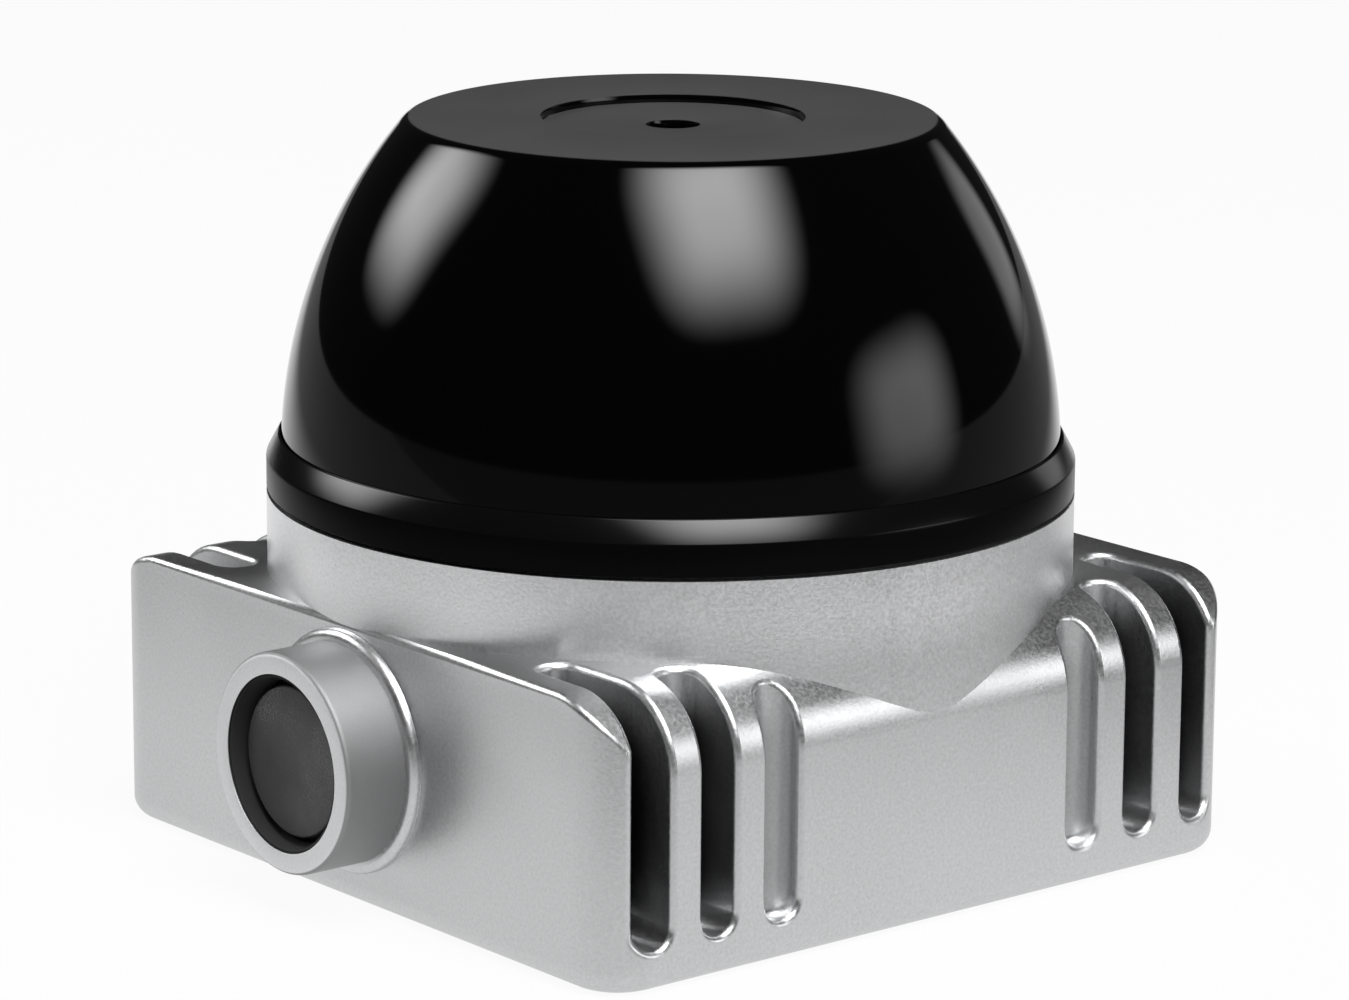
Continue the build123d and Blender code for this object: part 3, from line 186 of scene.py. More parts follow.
class CameraPlace(PropertyGroup):
    azimuth: turn("Azimuth", "Way round the object from its -Y side", -39.582)
    elevation: turn("Elevation", "Height above the horizon", 13.376)
    roll: turn("Roll", "Tilt of the picture", 0.379)
    distance: length("Distance", "From the camera to the target", 455.25)
    target_height: length("Target height", "Height of the target on the dome's axis", 30.0)
    lens: amount("Lens", "Focal length in millimetres on a 36 mm wide sensor", 150.995)
    aside: amount("Aside", "Target's place right of the middle", -0.0006734, -1)
    above: amount("Above", "Target's place above the middle", 0.0050706, -1)


class StudioLevels(PropertyGroup):
    key: amount("Key", "Radiance of the large overhead softbox", 21.0)
    back: amount("Back", "Radiance of the softbox behind at the left", 9.0)
    side: amount("Side", "Radiance of the dim softbox at the front right", 4.5)
    strip: amount("Strip", "Radiance of the strip at the right", 1.0)
    room: share("Room", "Radiance of the dark room", 0.02)
    floor: tint("Floor", "Colour of the floor under and behind the object", (1.0, 1.0, 1.0))
    floor_front: tint("Floor in front", "Colour of the floor far in front", (0.15, 0.15, 0.15))
    glow: share("Glow", "Share of the floor's own light where it is seen", 0.94)
    lit: share("Lit", "Tone of the floor that the lamps light", 0.5)
    far: length("Far", "From the object to the large lamps", 700)
    near: length("Near", "From the object to the lamp at the front right", 240)


FLOAT, VECTOR, COLOUR = "NodeSocketFloat", "NodeSocketVector", "NodeSocketColor"
# places of a Mix node's factor and two colours, and of their mixture
MIX_INPUTS, MIX_RESULT = (0, 6, 7), 2
# middle of a Noise Texture's values
MEAN_NOISE = 0.5


def new_group(name, inputs, outputs):
    """A shader node group with named sockets, and its input and output nodes."""
    group = bpy.data.node_groups.new(name, "ShaderNodeTree")
    for socket, kind, default in inputs:
        made = group.interface.new_socket(name=socket, in_out="INPUT", socket_type=kind)
        if default is not None:
            made.default_value = default
    for socket, kind in outputs:
        group.interface.new_socket(name=socket, in_out="OUTPUT", socket_type=kind)
    return group, group.nodes.new("NodeGroupInput"), group.nodes.new("NodeGroupOutput")


def feed(socket, value):
    """Links another socket to a socket, or sets its plain value."""
    if isinstance(value, NodeSocket):
        socket.id_data.links.new(value, socket)
    else:
        socket.default_value = value


def set_sockets(node, values):
    """Links or sets the named sockets of a node."""
    for name, value in values.items():
        feed(node.inputs[name], value)


def maths(operation):
    """A function that makes one Math node of a kind."""
    def calculate(tree, first, second=0.0, third=0.0):
        node = tree.nodes.new("ShaderNodeMath")
        node.operation = operation
        for socket, value in zip(node.inputs, (first, second, third)):
            feed(socket, value)
        return node.outputs[0]

    return calculate


add, subtract, multiply, divide = map(maths, ("ADD", "SUBTRACT", "MULTIPLY", "DIVIDE"))
multiply_add, power, square_root = map(maths, ("MULTIPLY_ADD", "POWER", "SQRT"))
larger, smaller, without_sign = map(maths, ("MAXIMUM", "MINIMUM", "ABSOLUTE"))


def remap(tree, value, low, high, to_low=0.0, to_high=1.0):
    """A smooth step of value between low and high."""
    node = tree.nodes.new("ShaderNodeMapRange")
    node.interpolation_type = "SMOOTHSTEP"
    for socket, item in zip(node.inputs, (value, low, high, to_low, to_high)):
        feed(socket, item)
    return node.outputs["Result"]


def mix_colour(tree, factor, first, second, blend="MIX"):
    """One colour Mix node."""
    node = tree.nodes.new("ShaderNodeMix")
    node.data_type = "RGBA"
    node.blend_type = blend
    for place, value in zip(MIX_INPUTS, (factor, first, second)):
        feed(node.inputs[place], value)
    return node.outputs[MIX_RESULT]


def toned(tree, colour, tone):
    """A colour times a tone."""
    return mix_colour(tree, 1.0, colour, tone, "MULTIPLY")


def mix_shaders(tree, factor, first, second):
    """One Mix Shader node between two shader nodes."""
    node = tree.nodes.new("ShaderNodeMixShader")
    for socket, value in zip(node.inputs, (factor, first.outputs[0], second.outputs[0])):
        tree.links.new(value, socket)
    return node


def noise(tree, vector, scale, detail=2.0, roughness=0.5):
    """One Noise Texture's value."""
    node = tree.nodes.new("ShaderNodeTexNoise")
    set_sockets(node, {
        "Vector": vector, "Scale": scale, "Detail": detail, "Roughness": roughness
    })
    return node.outputs["Fac"]


def split(tree, vector):
    """The X, Y and Z sockets of a vector."""
    node = tree.nodes.new("ShaderNodeSeparateXYZ")
    tree.links.new(vector, node.inputs[0])
    return node.outputs


def alike(tree, value):
    """A vector with the same value three times, which reads as a grey."""
    node = tree.nodes.new("ShaderNodeCombineXYZ")
    for socket in node.inputs:
        tree.links.new(value, socket)
    return node.outputs[0]


def from_axis(tree, first, second):
    """Distance from an axis, from the two places across it."""
    squares = [power(tree, part, 2.0) for part in (first, second)]
    return square_root(tree, add(tree, *squares))


def grey(tone):
    """A neutral colour with its alpha."""
    return (tone, tone, tone, 1.0)


def opaque(colour):
    """A colour property with its alpha."""
    return (*colour, 1.0)


# the patches against the grain in scale, and how much each unsettles the roughness
PATCH_SCALE = 0.02
ROUGH_GRAIN, ROUGH_PATCHES = 0.5, 0.6


def surface_grain():
    """Fine grain: a tone round 1, a roughness round 0 and a height, from the grain's size."""
    group, given, made = new_group(
        "surface_grain",
        [
            ("Vector", VECTOR, None), ("Size", FLOAT, 0.2 * MM),
            ("Contrast", FLOAT, 0.1), ("Patches", FLOAT, 0.05),
        ],
        [("Tone", COLOUR), ("Roughness", FLOAT), ("Height", FLOAT)],
    )
    names = ("Vector", "Size", "Contrast", "Patches")
    vector, size, contrast, patches = (given.outputs[name] for name in names)
    scale = divide(group, 1.0, size)
    fine = noise(group, vector, scale, detail=3.0, roughness=0.6)
    broad = noise(group, vector, multiply(group, scale, PATCH_SCALE), detail=3.0)
    fine_offset = subtract(group, fine, MEAN_NOISE)
    broad_offset = subtract(group, broad, MEAN_NOISE)
    tone = multiply_add(group, fine_offset, contrast, 1.0)
    tone = multiply_add(group, broad_offset, patches, tone)
    uneven = multiply(group, broad_offset, ROUGH_PATCHES)
    uneven = multiply_add(group, fine_offset, ROUGH_GRAIN, uneven)
    rough = multiply(group, uneven, contrast)
    set_sockets(made, {"Tone": alike(group, tone), "Roughness": rough, "Height": fine})
    return group


def turning_marks():
    """Fine tool marks of a lathe: a tone round 1 and a height, from a distance along the cut."""
    group, given, made = new_group(
        "turning_marks",
        [("Along", FLOAT, 0.0), ("Pitch", FLOAT, 0.15 * MM), ("Contrast", FLOAT, 0.1)],
        [("Tone", COLOUR), ("Height", FLOAT)],
    )
    place = group.nodes.new("ShaderNodeCombineXYZ")
    group.links.new(given.outputs["Along"], place.inputs["X"])
    scale = divide(group, 1.0, given.outputs["Pitch"])
    wave = noise(group, place.outputs[0], scale)
    offset = subtract(group, wave, MEAN_NOISE)
    tone = multiply_add(group, offset, given.outputs["Contrast"], 1.0)
    set_sockets(made, {"Tone": alike(group, tone), "Height": wave})
    return group


# how far below the skin, in from the end faces and up from the underside the painted shade in a
# slot sets in and is full
DARK_BELOW = (1.2 * MM, 5.0 * MM)
DARK_FROM_END = (1.5 * MM, 2.8 * MM)
DARK_ABOVE = (2.5 * MM, 6.5 * MM)


def painted_slot_shade():
    """How deep a point lies in a cooling slot of the base, from 0 on the outer skin to 1, which
    sets the painted shade there.
    """
    lengths = ("Half width", "Top", "Shoulder")
    group, given, made = new_group(
        "painted_slot_shade",
        [("Vector", VECTOR, None), *((name, FLOAT, None) for name in lengths)],
        [("Depth", FLOAT)],
    )
    x, y, z = split(group, given.outputs["Vector"])
    half, top, shoulder = (given.outputs[name] for name in lengths)
    # distance below the rounded outline that the long sides and the top make
    beside = subtract(group, without_sign(group, y), half)
    out_y = add(group, beside, shoulder)
    out_z = add(group, subtract(group, z, top), shoulder)
    beyond = (larger(group, out, 0.0) for out in (out_y, out_z))
    corner = from_axis(group, *beyond)
    flat = smaller(group, larger(group, out_y, out_z), 0.0)
    depth = subtract(group, subtract(group, shoulder, corner), flat)
    from_end = subtract(group, half, without_sign(group, x))
    deep = remap(group, depth, *DARK_BELOW)
    inside = remap(group, from_end, *DARK_FROM_END)
    above = remap(group, z, *DARK_ABOVE)
    both = multiply(group, deep, inside)
    group.links.new(multiply(group, both, above), made.inputs["Depth"])
    return group


def place_group(tree, maker, values):
    """A group node of a shared effect, made once, with its values set or linked."""
    node = tree.nodes.new("ShaderNodeGroup")
    node.node_tree = bpy.data.node_groups.get(maker.__name__) or maker()
    set_sockets(node, values)
    return node.outputs


def new_material(name):
    """A material with its Principled BSDF, its tree and its Object coordinates."""
    material = bpy.data.materials.new(name)
    material.use_nodes = True
    tree = material.node_tree
    shader = tree.nodes["Principled BSDF"]
    place = tree.nodes.new("ShaderNodeTexCoord").outputs["Object"]
    return material, tree, shader, place


def add_bump(shader, height, distance):
    """A Bump node in front of the shader's normal."""
    tree = shader.id_data
    bump = tree.nodes.new("ShaderNodeBump")
    set_sockets(bump, {"Strength": 1.0, "Distance": distance, "Height": height})
    tree.links.new(bump.outputs["Normal"], shader.inputs["Normal"])


def grained(name, colour, metallic, roughness, size, contrast, patches, bump):
    """A plain finish with fine grain in its colour, its roughness and its surface."""
    material, tree, shader, place = new_material(name)
    given = {"Vector": place, "Size": size, "Contrast": contrast, "Patches": patches}
    grain = place_group(tree, surface_grain, given)
    set_sockets(shader, {
        "Base Color": toned(tree, opaque(colour), grain["Tone"]),
        "Metallic": metallic,
        "Roughness": add(tree, grain["Roughness"], roughness),
    })
    if bump:
        add_bump(shader, grain["Height"], bump)
    return material, tree, shader, place


# how much the tool marks unsettle the roughness, and their depth
TURNED_ROUGH = 0.1
TURNED_DEPTH = 0.004 * MM


def turned(name, colour, roughness, pitch=0.12 * MM, contrast=0.25):
    """A turned metal finish with fine rings about the dome's axis."""
    material, tree, shader, place = new_material(name)
    x, y, z = split(tree, place)
    cut = add(tree, z, from_axis(tree, x, y))
    marks = place_group(tree, turning_marks, {"Along": cut, "Pitch": pitch, "Contrast": contrast})
    grain = place_group(tree, surface_grain, {"Vector": place, "Contrast": 0.08, "Patches": 0.06})
    smoothest = roughness - TURNED_ROUGH / 2
    rough = multiply_add(tree, marks["Height"], TURNED_ROUGH, smoothest)
    both = toned(tree, marks["Tone"], grain["Tone"])
    set_sockets(shader, {
        "Base Color": toned(tree, opaque(colour), both),
        "Metallic": 1.0,
        "Roughness": add(tree, rough, grain["Roughness"]),
    })
    add_bump(shader, marks["Height"], TURNED_DEPTH)
    return material


# where the collar's painted lighter tone sets in and is full, from the top of the square base
COLLAR_PAINTED_LIGHT = (-2 * MM, 4 * MM)


def blasted_aluminium(finish):
    """Satin bead-blasted casting, with painted shade deep inside the cooling slots and a painted
    lighter tone on the collar.
    """
    grain = (finish.grain, finish.contrast, finish.patches, finish.grain_depth)
    material, tree, shader, place = grained(
        "blasted_aluminium", finish.colour, 1.0, finish.roughness, *grain
    )
    outline = {"Half width": base_half, "Top": finish.top, "Shoulder": finish.shoulder}
    shade = place_group(tree, painted_slot_shade, {"Vector": place, **outline})
    # painted light: the collar's tone is raised against the base below it
    heights = (finish.top + offset for offset in COLLAR_PAINTED_LIGHT)
    collar = remap(tree, split(tree, place)[2], *heights)
    level = mix_colour(tree, collar, grey(1.0), grey(finish.collar_level))
    bright = toned(tree, shader.inputs["Base Color"].links[0].from_socket, level)
    # painted shade: the deeper a point lies in a slot, the more it takes the shade colour
    shaded = mix_colour(tree, shade["Depth"], bright, opaque(finish.shade))
    tree.links.new(shaded, shader.inputs["Base Color"])
    return material


# where the etch begins and is full: below the top, below the pocket's floor, off the pocket's wall
ETCH_FADES = (0.12 * MM, 0.02 * MM)
POCKET_FADE = 0.1 * MM
WALL_FADES = (0.03 * MM, 0.12 * MM)
# how far smears take the wall's roughness up and down
SMEAR = 0.015


def polished_window(sizes):
    """Black infrared-clear plastic: a polished wall, and an etched matte top."""
    material, tree, shader, place = new_material("polished_window")
    x, y, z = split(tree, place)
    pocket_floor = dome_high.z - sizes.pocket_depth
    etched = remap(tree, z, *(dome_high.z - depth for depth in ETCH_FADES))
    pocket = remap(tree, z, pocket_floor - POCKET_FADE, pocket_floor)
    radii = (sizes.pocket_radius - gap for gap in WALL_FADES)
    middle = remap(tree, from_axis(tree, x, y), *radii)
    matte = larger(tree, etched, multiply(tree, pocket, middle))
    grain = place_group(tree, surface_grain, {"Vector": place, "Size": 0.12 * MM, "Contrast": 0.3})
    top = toned(tree, opaque(sizes.top_colour), grain["Tone"])
    smears = noise(tree, place, 60.0, detail=3.0)
    wall = multiply_add(tree, smears, 2 * SMEAR, sizes.gloss - SMEAR)
    etch = add(tree, grain["Roughness"], sizes.top_roughness)
    duller = subtract(tree, etch, wall)
    set_sockets(shader, {
        "Base Color": mix_colour(tree, matte, opaque(sizes.colour), top),
        "Roughness": multiply_add(tree, matte, duller, wall),
        "Specular IOR Level": sizes.shine,
    })
    add_bump(shader, multiply(tree, grain["Height"], matte), 0.006 * MM)
    return material


def circuit_board():
    """Green solder mask over copper tracks, with pads."""
    material, tree, shader, place = new_material("circuit_board")
    tracks = tree.nodes.new("ShaderNodeTexBrick")
    set_sockets(tracks, {
        "Vector": place,
        "Scale": 220.0,
        "Color1": (0.012, 0.10, 0.045, 1),
        "Color2": (0.016, 0.13, 0.055, 1),
        "Mortar": (0.03, 0.2, 0.08, 1),
        "Mortar Size": 0.03,
    })
    grain = place_group(tree, surface_grain, {"Vector": place, "Contrast": 0.2})
    set_sockets(shader, {
        "Base Color": toned(tree, tracks.outputs["Color"], grain["Tone"]),
        "Roughness": add(tree, grain["Roughness"], 0.35),
    })
    add_bump(shader, tracks.outputs["Fac"], 0.02 * MM)
    return material


# way of the bands, scale, distortion, dark colour, pale colour, metallic, roughness in the dark
# bands, how much rougher the pale ones are, and depth
BANDED_FINISHES = {
    "wound_copper": (
        "Z", 900.0, 0.6, (0.2, 0.06, 0.02), (0.62, 0.24, 0.09), 1.0, 0.4, -0.15, 0.05 * MM
    ),
    "stacked_sheet": ("Z", 500.0, 0.0, (0.12,) * 3, (0.3,) * 3, 1.0, 0.4, 0.1, 0.03 * MM),
    "flex_film": (
        "DIAGONAL", 350.0, 0.0, (0.28, 0.11, 0.015), (0.5, 0.24, 0.05), 0.0, 0.25, 0.08, 0.01 * MM
    ),
}


def banded_finish(name):
    """Enamelled wire laid turn on turn, stacked steel sheets, or film over copper tracks."""
    way, scale, distortion, dark, pale, metallic, roughness, rougher, depth = BANDED_FINISHES[name]
    material, tree, shader, place = new_material(name)
    wave = tree.nodes.new("ShaderNodeTexWave")
    wave.bands_direction = way
    set_sockets(wave, {"Vector": place, "Scale": scale, "Distortion": distortion})
    bands = wave.outputs["Fac"]
    set_sockets(shader, {
        "Base Color": mix_colour(tree, bands, opaque(dark), opaque(pale)),
        "Metallic": metallic,
        "Roughness": multiply_add(tree, bands, rougher, roughness),
    })
    add_bump(shader, bands, depth)
    return material


def coated_glass():
    """Optical glass with a faint violet coating and a trace of dust."""
    material, tree, shader, place = new_material("coated_glass")
    clouds = noise(tree, place, 150.0)
    dust = noise(tree, place, 3000.0, detail=1.0)
    set_sockets(shader, {
        "Base Color": mix_colour(tree, clouds, (0.9, 0.93, 1.0, 1), (0.96, 0.97, 0.99, 1)),
        "Roughness": remap(tree, dust, 0.68, 0.75, 0.01, 0.12),
        "Transmission Weight": 1.0,
        "IOR": 1.52,
    })
    return material


def front_coated_mirror():
    """A silvered mirror face with slight haze."""
    material, tree, shader, place = new_material("front_coated_mirror")
    haze = noise(tree, place, 200.0, detail=3.0)
    set_sockets(shader, {
        "Base Color": mix_colour(tree, haze, grey(0.86), grey(0.93)),
        "Metallic": 1.0,
        "Roughness": remap(tree, haze, 0.3, 0.8, 0.015, 0.05),
    })
    return material


# where the bore's tone and the rim's painted highlight begin and are full, from the bore's wall
# and the front
BORE_FADES = (0.06 * MM, 0.02 * MM)
FACE_FADES = (0.12 * MM, 0.03 * MM)


def faced_barrel(colour, sizes):
    """Satin turned side with a painted highlight that makes the faced rim brighter, and a black
    bore.
    """
    material, tree, shader, place = grained(
        "connector_aluminium", colour, 1.0, sizes.side_roughness, 0.16 * MM, 0.3, 0.1, 0.012 * MM
    )
    x, y, z = split(tree, place)
    radius = from_axis(tree, y, subtract(tree, z, connector_height))
    inside = remap(tree, radius, *(sizes.bore + gap for gap in BORE_FADES))
    side = mix_colour(tree, inside, grey(sizes.side_level), grey(sizes.bore_level))
    # painted highlight on the rim's front face
    face = remap(tree, x, *(shell_low.x + gap for gap in FACE_FADES))
    level = mix_colour(tree, face, side, grey(sizes.face_level))
    plain = shader.inputs["Base Color"].links[0].from_socket
    tree.links.new(toned(tree, plain, level), shader.inputs["Base Color"])
    return material


# colour, metallic, roughness, size of the grain, its contrast, patches, depth of the grain
PLAIN_FINISHES = {
    "speckled_plug": ((0.03, 0.03, 0.032), 0.0, 0.6, 0.2 * MM, 2.8, 0.2, 0.02 * MM),
    "cover_aluminium": ((0.55, 0.56, 0.57), 1.0, 0.4, 0.14 * MM, 0.16, 0.08, 0.006 * MM),
    "seal_rubber": ((0.012, 0.012, 0.013), 0.0, 0.7, 0.25 * MM, 0.4, 0.2, 0.02 * MM),
    "fastener_steel": ((0.42, 0.42, 0.44), 1.0, 0.32, 0.2 * MM, 0.2, 0.1, 0.01 * MM),
    "vent_membrane": ((0.03, 0.03, 0.033), 0.0, 0.75, 0.1 * MM, 0.6, 0.2, 0.02 * MM),
    "insulator": ((0.004, 0.004, 0.0045), 0.0, 0.6, 0.2 * MM, 0.3, 0.1, 0.01 * MM),
    "plated_contacts": ((0.83, 0.6, 0.24), 1.0, 0.2, 0.15 * MM, 0.1, 0.1, 0.0),
    "moulded_chip": ((0.02, 0.02, 0.022), 0.0, 0.55, 0.12 * MM, 0.5, 0.1, 0.01 * MM),
    "thermal_pad": ((0.36, 0.39, 0.44), 0.0, 0.85, 0.4 * MM, 0.3, 0.2, 0.03 * MM),
    "black_anodised": ((0.03, 0.03, 0.034), 0.6, 0.42, 0.2 * MM, 0.3, 0.1, 0.008 * MM),
    "nickel_magnet": ((0.5, 0.5, 0.52), 1.0, 0.28, 0.25 * MM, 0.2, 0.2, 0.008 * MM),
    "cage_resin": ((0.3, 0.18, 0.08), 0.0, 0.5, 0.3 * MM, 0.4, 0.2, 0.01 * MM),
}


def material_of(finish):
    """A material as it is, or a plain or banded finish by its name, made once."""
    if not isinstance(finish, str):
        return finish
    if finish in BANDED_FINISHES:
        return bpy.data.materials.get(finish) or banded_finish(finish)
    return bpy.data.materials.get(finish) or grained(finish, *PLAIN_FINISHES[finish])[0]


def dress(finish, *nodes):
    """Gives carried-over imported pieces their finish."""
    material = material_of(finish)
    for name in nodes:
        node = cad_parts[name]
        if not node.material_slots:
            node.data.materials.append(material)
        for slot in node.material_slots:
            slot.link = "OBJECT"
            slot.material = material


def new_object(name, data):
    """An object at the origin, in the scene."""
    made = bpy.data.objects.new(name, data)
    bpy.context.scene.collection.objects.link(made)
    return made


def finish_piece(name, bm, finish, body, slot, *nodes):
    """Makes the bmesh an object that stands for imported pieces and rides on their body."""
    bmesh.ops.remove_doubles(bm, verts=bm.verts[:], dist=SAME_POINT)
    bmesh.ops.recalc_face_normals(bm, faces=bm.faces[:])
    mesh = bpy.data.meshes.new(name)
    bm.to_mesh(mesh)
    bm.free()
    if not mesh.polygons:
        raise RuntimeError(f"{name} has no faces")
    for face in mesh.polygons:
        face.use_smooth = True
    mesh.set_sharp_from_angle(angle=HARD_EDGE)
    mesh.materials.append(material_of(finish))
    piece = new_object(name, mesh)
    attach(piece, body)
    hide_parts(*nodes)
    return piece


def merged_copy(name, node, finish, body, slot):
    """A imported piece's own shape, merged and shaded smoothly, standing for it."""
    bm = bmesh.new()
    bm.from_mesh(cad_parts[node].data)
    piece = finish_piece(name, bm, finish, body, slot, node)
    # the large flat faces keep their own normals beside their fillets
    modifier = piece.modifiers.new("flat_faces", "WEIGHTED_NORMAL")
    modifier.mode = "FACE_AREA_WITH_ANGLE"
    modifier.weight = 50
    modifier.keep_sharp = True
    return piece


def true_normals(piece, cylinders):
    """Exact normals for flat faces square to an axis and for cylinders (centre, axis, radius)."""
    mesh = piece.data
    shaded = piece.evaluated_get(bpy.context.evaluated_depsgraph_get()).data
    normals = [corner.vector.copy() for corner in shaded.corner_normals]
    found = set()
    for face in mesh.polygons:
        corners = [mesh.vertices[index].co for index in face.vertices]
        if max(abs(part) for part in face.normal) > SQUARE_ON:
            for loop in face.loop_indices:
                normals[loop] = face.normal.copy()
            continue
        for number, (centre, axis, radius) in enumerate(cylinders):
            outward = [(co - centre) - axis * (co - centre).dot(axis) for co in corners]
            on_it = all(abs(ray.length - radius) < ON_CURVE for ray in outward)
            if on_it and outward[0].normalized().dot(face.normal) > OUTWARD:
                found.add(number)
                for loop, ray in zip(face.loop_indices, outward):
                    normals[loop] = ray.normalized()
                break
    if len(found) < len(cylinders):
        raise RuntimeError(f"{piece.name} has no face on one of these cylinders")
    piece.modifiers.clear()
    mesh.normals_split_custom_set(normals)


class Profile:
    """An outline in the XZ plane, drawn point by point and then spun about Z."""

    def __init__(self, radius, height):
        self.bm = bmesh.new()
        self.first = self.bm.verts.new((radius, 0, height))
        self.last = self.first

    def line(self, radius, height):
        """A straight run to a radius and a height."""
        made = bmesh.ops.extrude_vert_indiv(self.bm, verts=[self.last])
        vert = made["verts"][0]
        bmesh.ops.translate(self.bm, verts=[vert], vec=Vector((radius, 0, height)) - vert.co)
        self.last = vert
        return self

    def arc(self, centre, angle, steps):
        """An arc round a centre, counter-clockwise where the angle is positive, seen from -Y."""
        made = bmesh.ops.spin(
            self.bm,
            geom=[self.last],
            cent=Vector((centre[0], 0, centre[1])),
            axis=-AXIS_Y,
            angle=angle,
            steps=steps,
            use_duplicate=False,
        )
        ends = made["geom_last"]
        self.last = next(item for item in ends if isinstance(item, bmesh.types.BMVert))
        return self

    def close(self):
        """A straight run back to the first point."""
        self.bm.edges.new((self.last, self.first))
        return self

    def spin(self, segments):
        """The full turn about Z."""
        bmesh.ops.spin(
            self.bm,
            geom=self.bm.verts[:] + self.bm.edges[:],
            cent=Vector(),
            axis=AXIS_Z,
            angle=FULL_TURN,
            steps=segments,
            use_merge=True,
            use_duplicate=False,
        )
        bmesh.ops.remove_doubles(self.bm, verts=self.bm.verts[:], dist=SAME_POINT)
        return self.bm


def round_edges(bm, circles, radius, segments):
    """Rounds the circular edges at the given radii and heights about Z."""
    def on_circle(edge):
        for r, z in circles:
            gaps = [max(abs(v.co.z - z), abs(v.co.xy.length - r)) for v in edge.verts]
            if max(gaps) < ON_CURVE:
                return True
        return False

    edges = [edge for edge in bm.edges if on_circle(edge)]
    if not edges:
        raise RuntimeError("no edge lies on these circles")
    shape = {"offset": radius, "segments": segments, "profile": 0.5, "affect": "EDGES"}
    bmesh.ops.bevel(bm, geom=edges, offset_type="OFFSET", material=-1, **shape)


def bearing(centre, point):
    """The angle at which a centre sees a point of the outline."""
    return math.atan2(point[1] - centre[1], point[0] - centre[0])


def circle_through(a, b, c):
    """Centre and radius of the circle through three points of the outline."""
    (ax, az), (bx, bz), (cx, cz) = a, b, c
    d = 2 * (ax * (bz - cz) + bx * (cz - az) + cx * (az - bz))
    a2, b2, c2 = ax**2 + az**2, bx**2 + bz**2, cx**2 + cz**2
    x = (a2 * (bz - cz) + b2 * (cz - az) + c2 * (az - bz)) / d
    z = (a2 * (cx - bx) + b2 * (ax - cx) + c2 * (bx - ax)) / d
    return (x, z), math.hypot(ax - x, az - z)


def turn_to_connector(bm, front):
    """Lays a piece that was spun about Z on the connector's axis, its start at the given X."""
    quarter = Matrix.Rotation(math.pi / 2, 3, "Y")
    bmesh.ops.rotate(bm, verts=bm.verts[:], cent=Vector(), matrix=quarter)
    bmesh.ops.translate(bm, verts=bm.verts[:], vec=Vector((front, 0, connector_height)))


# steps along the dome's crown, its rounded rim and its cavity
CROWN_STEPS, RIM_STEPS, CAVITY_STEPS = 72, 10, 48


class SCANNER_OT_dome(Operator):
    """The glossy black dome window with its flat top, pocket and dimple"""

    bl_idname = "scanner.dome"
    bl_label = "Dome window"

    def execute(self, context):
        sizes = context.scene.scanner_dome
        wall, straight = sizes.wall_radius, sizes.straight_top
        shoulder = (sizes.shoulder_radius, sizes.shoulder_height)
        centre, crown = circle_through(
            (wall, straight), (sizes.crown_radius, sizes.crown_height), shoulder
        )
        start, end = bearing(centre, (wall, straight)), bearing(centre, shoulder)
        # the rim's own arc starts along the crown and ends on the flat top
        along = Vector((-math.sin(end), math.cos(end)))
        reach = Vector((sizes.top_radius - shoulder[0], dome_high.z - shoulder[1]))
        inward = Vector((-along.y, along.x))
        rim = reach.length_squared / (2 * reach.dot(inward))
        rim_centre = Vector(shoulder) + inward * rim
        rim_start = bearing(rim_centre, shoulder)
        rim_end = bearing(rim_centre, (sizes.top_radius, dome_high.z))
        inner = crown - sizes.wall
        inner_start = math.asin((straight - centre[1]) / inner)
        inner_end = math.asin((sizes.inner_top - centre[1]) / inner)
        inner_wall = wall - sizes.wall

        flange_top = dome_low.z + sizes.flange_height
        outline = Profile(inner_wall, dome_low.z)
        outline.line(dome_high.x, dome_low.z).line(dome_high.x, flange_top)
        outline.line(wall, flange_top).line(wall, straight)
        outline.arc(centre, end - start, CROWN_STEPS)
        outline.arc(rim_centre, rim_end - rim_start, RIM_STEPS)
        pocket_floor = dome_high.z - sizes.pocket_depth
        dimple_floor = pocket_floor - sizes.dimple_depth
        outline.line(sizes.pocket_radius, dome_high.z).line(sizes.pocket_radius, pocket_floor)
        outline.line(sizes.dimple_radius, pocket_floor).line(sizes.dimple_radius, dimple_floor)
        outline.line(0, dimple_floor)
        bm = outline.spin(sizes.segments)

        cavity = Profile(inner_wall, dome_low.z)
        cavity.line(inner_wall, straight)
        cavity.line(centre[0] + inner * math.cos(inner_start), straight)
        cavity.arc(centre, inner_end - inner_start, CAVITY_STEPS)
        cavity.line(0, sizes.inner_top)
        inside = cavity.spin(sizes.segments)
        mesh = bpy.data.meshes.new("dome_cavity")
        inside.to_mesh(mesh)
        inside.free()
        bm.from_mesh(mesh)
        bpy.data.meshes.remove(mesh)
        rims = [(sizes.pocket_radius, dome_high.z), (sizes.dimple_radius, pocket_floor)]
        round_edges(bm, rims, sizes.edge, segments=2)
        finish_piece("dome_shell", bm, polished_window(sizes), "root", "window", "dome_window")
        return {"FINISHED"}


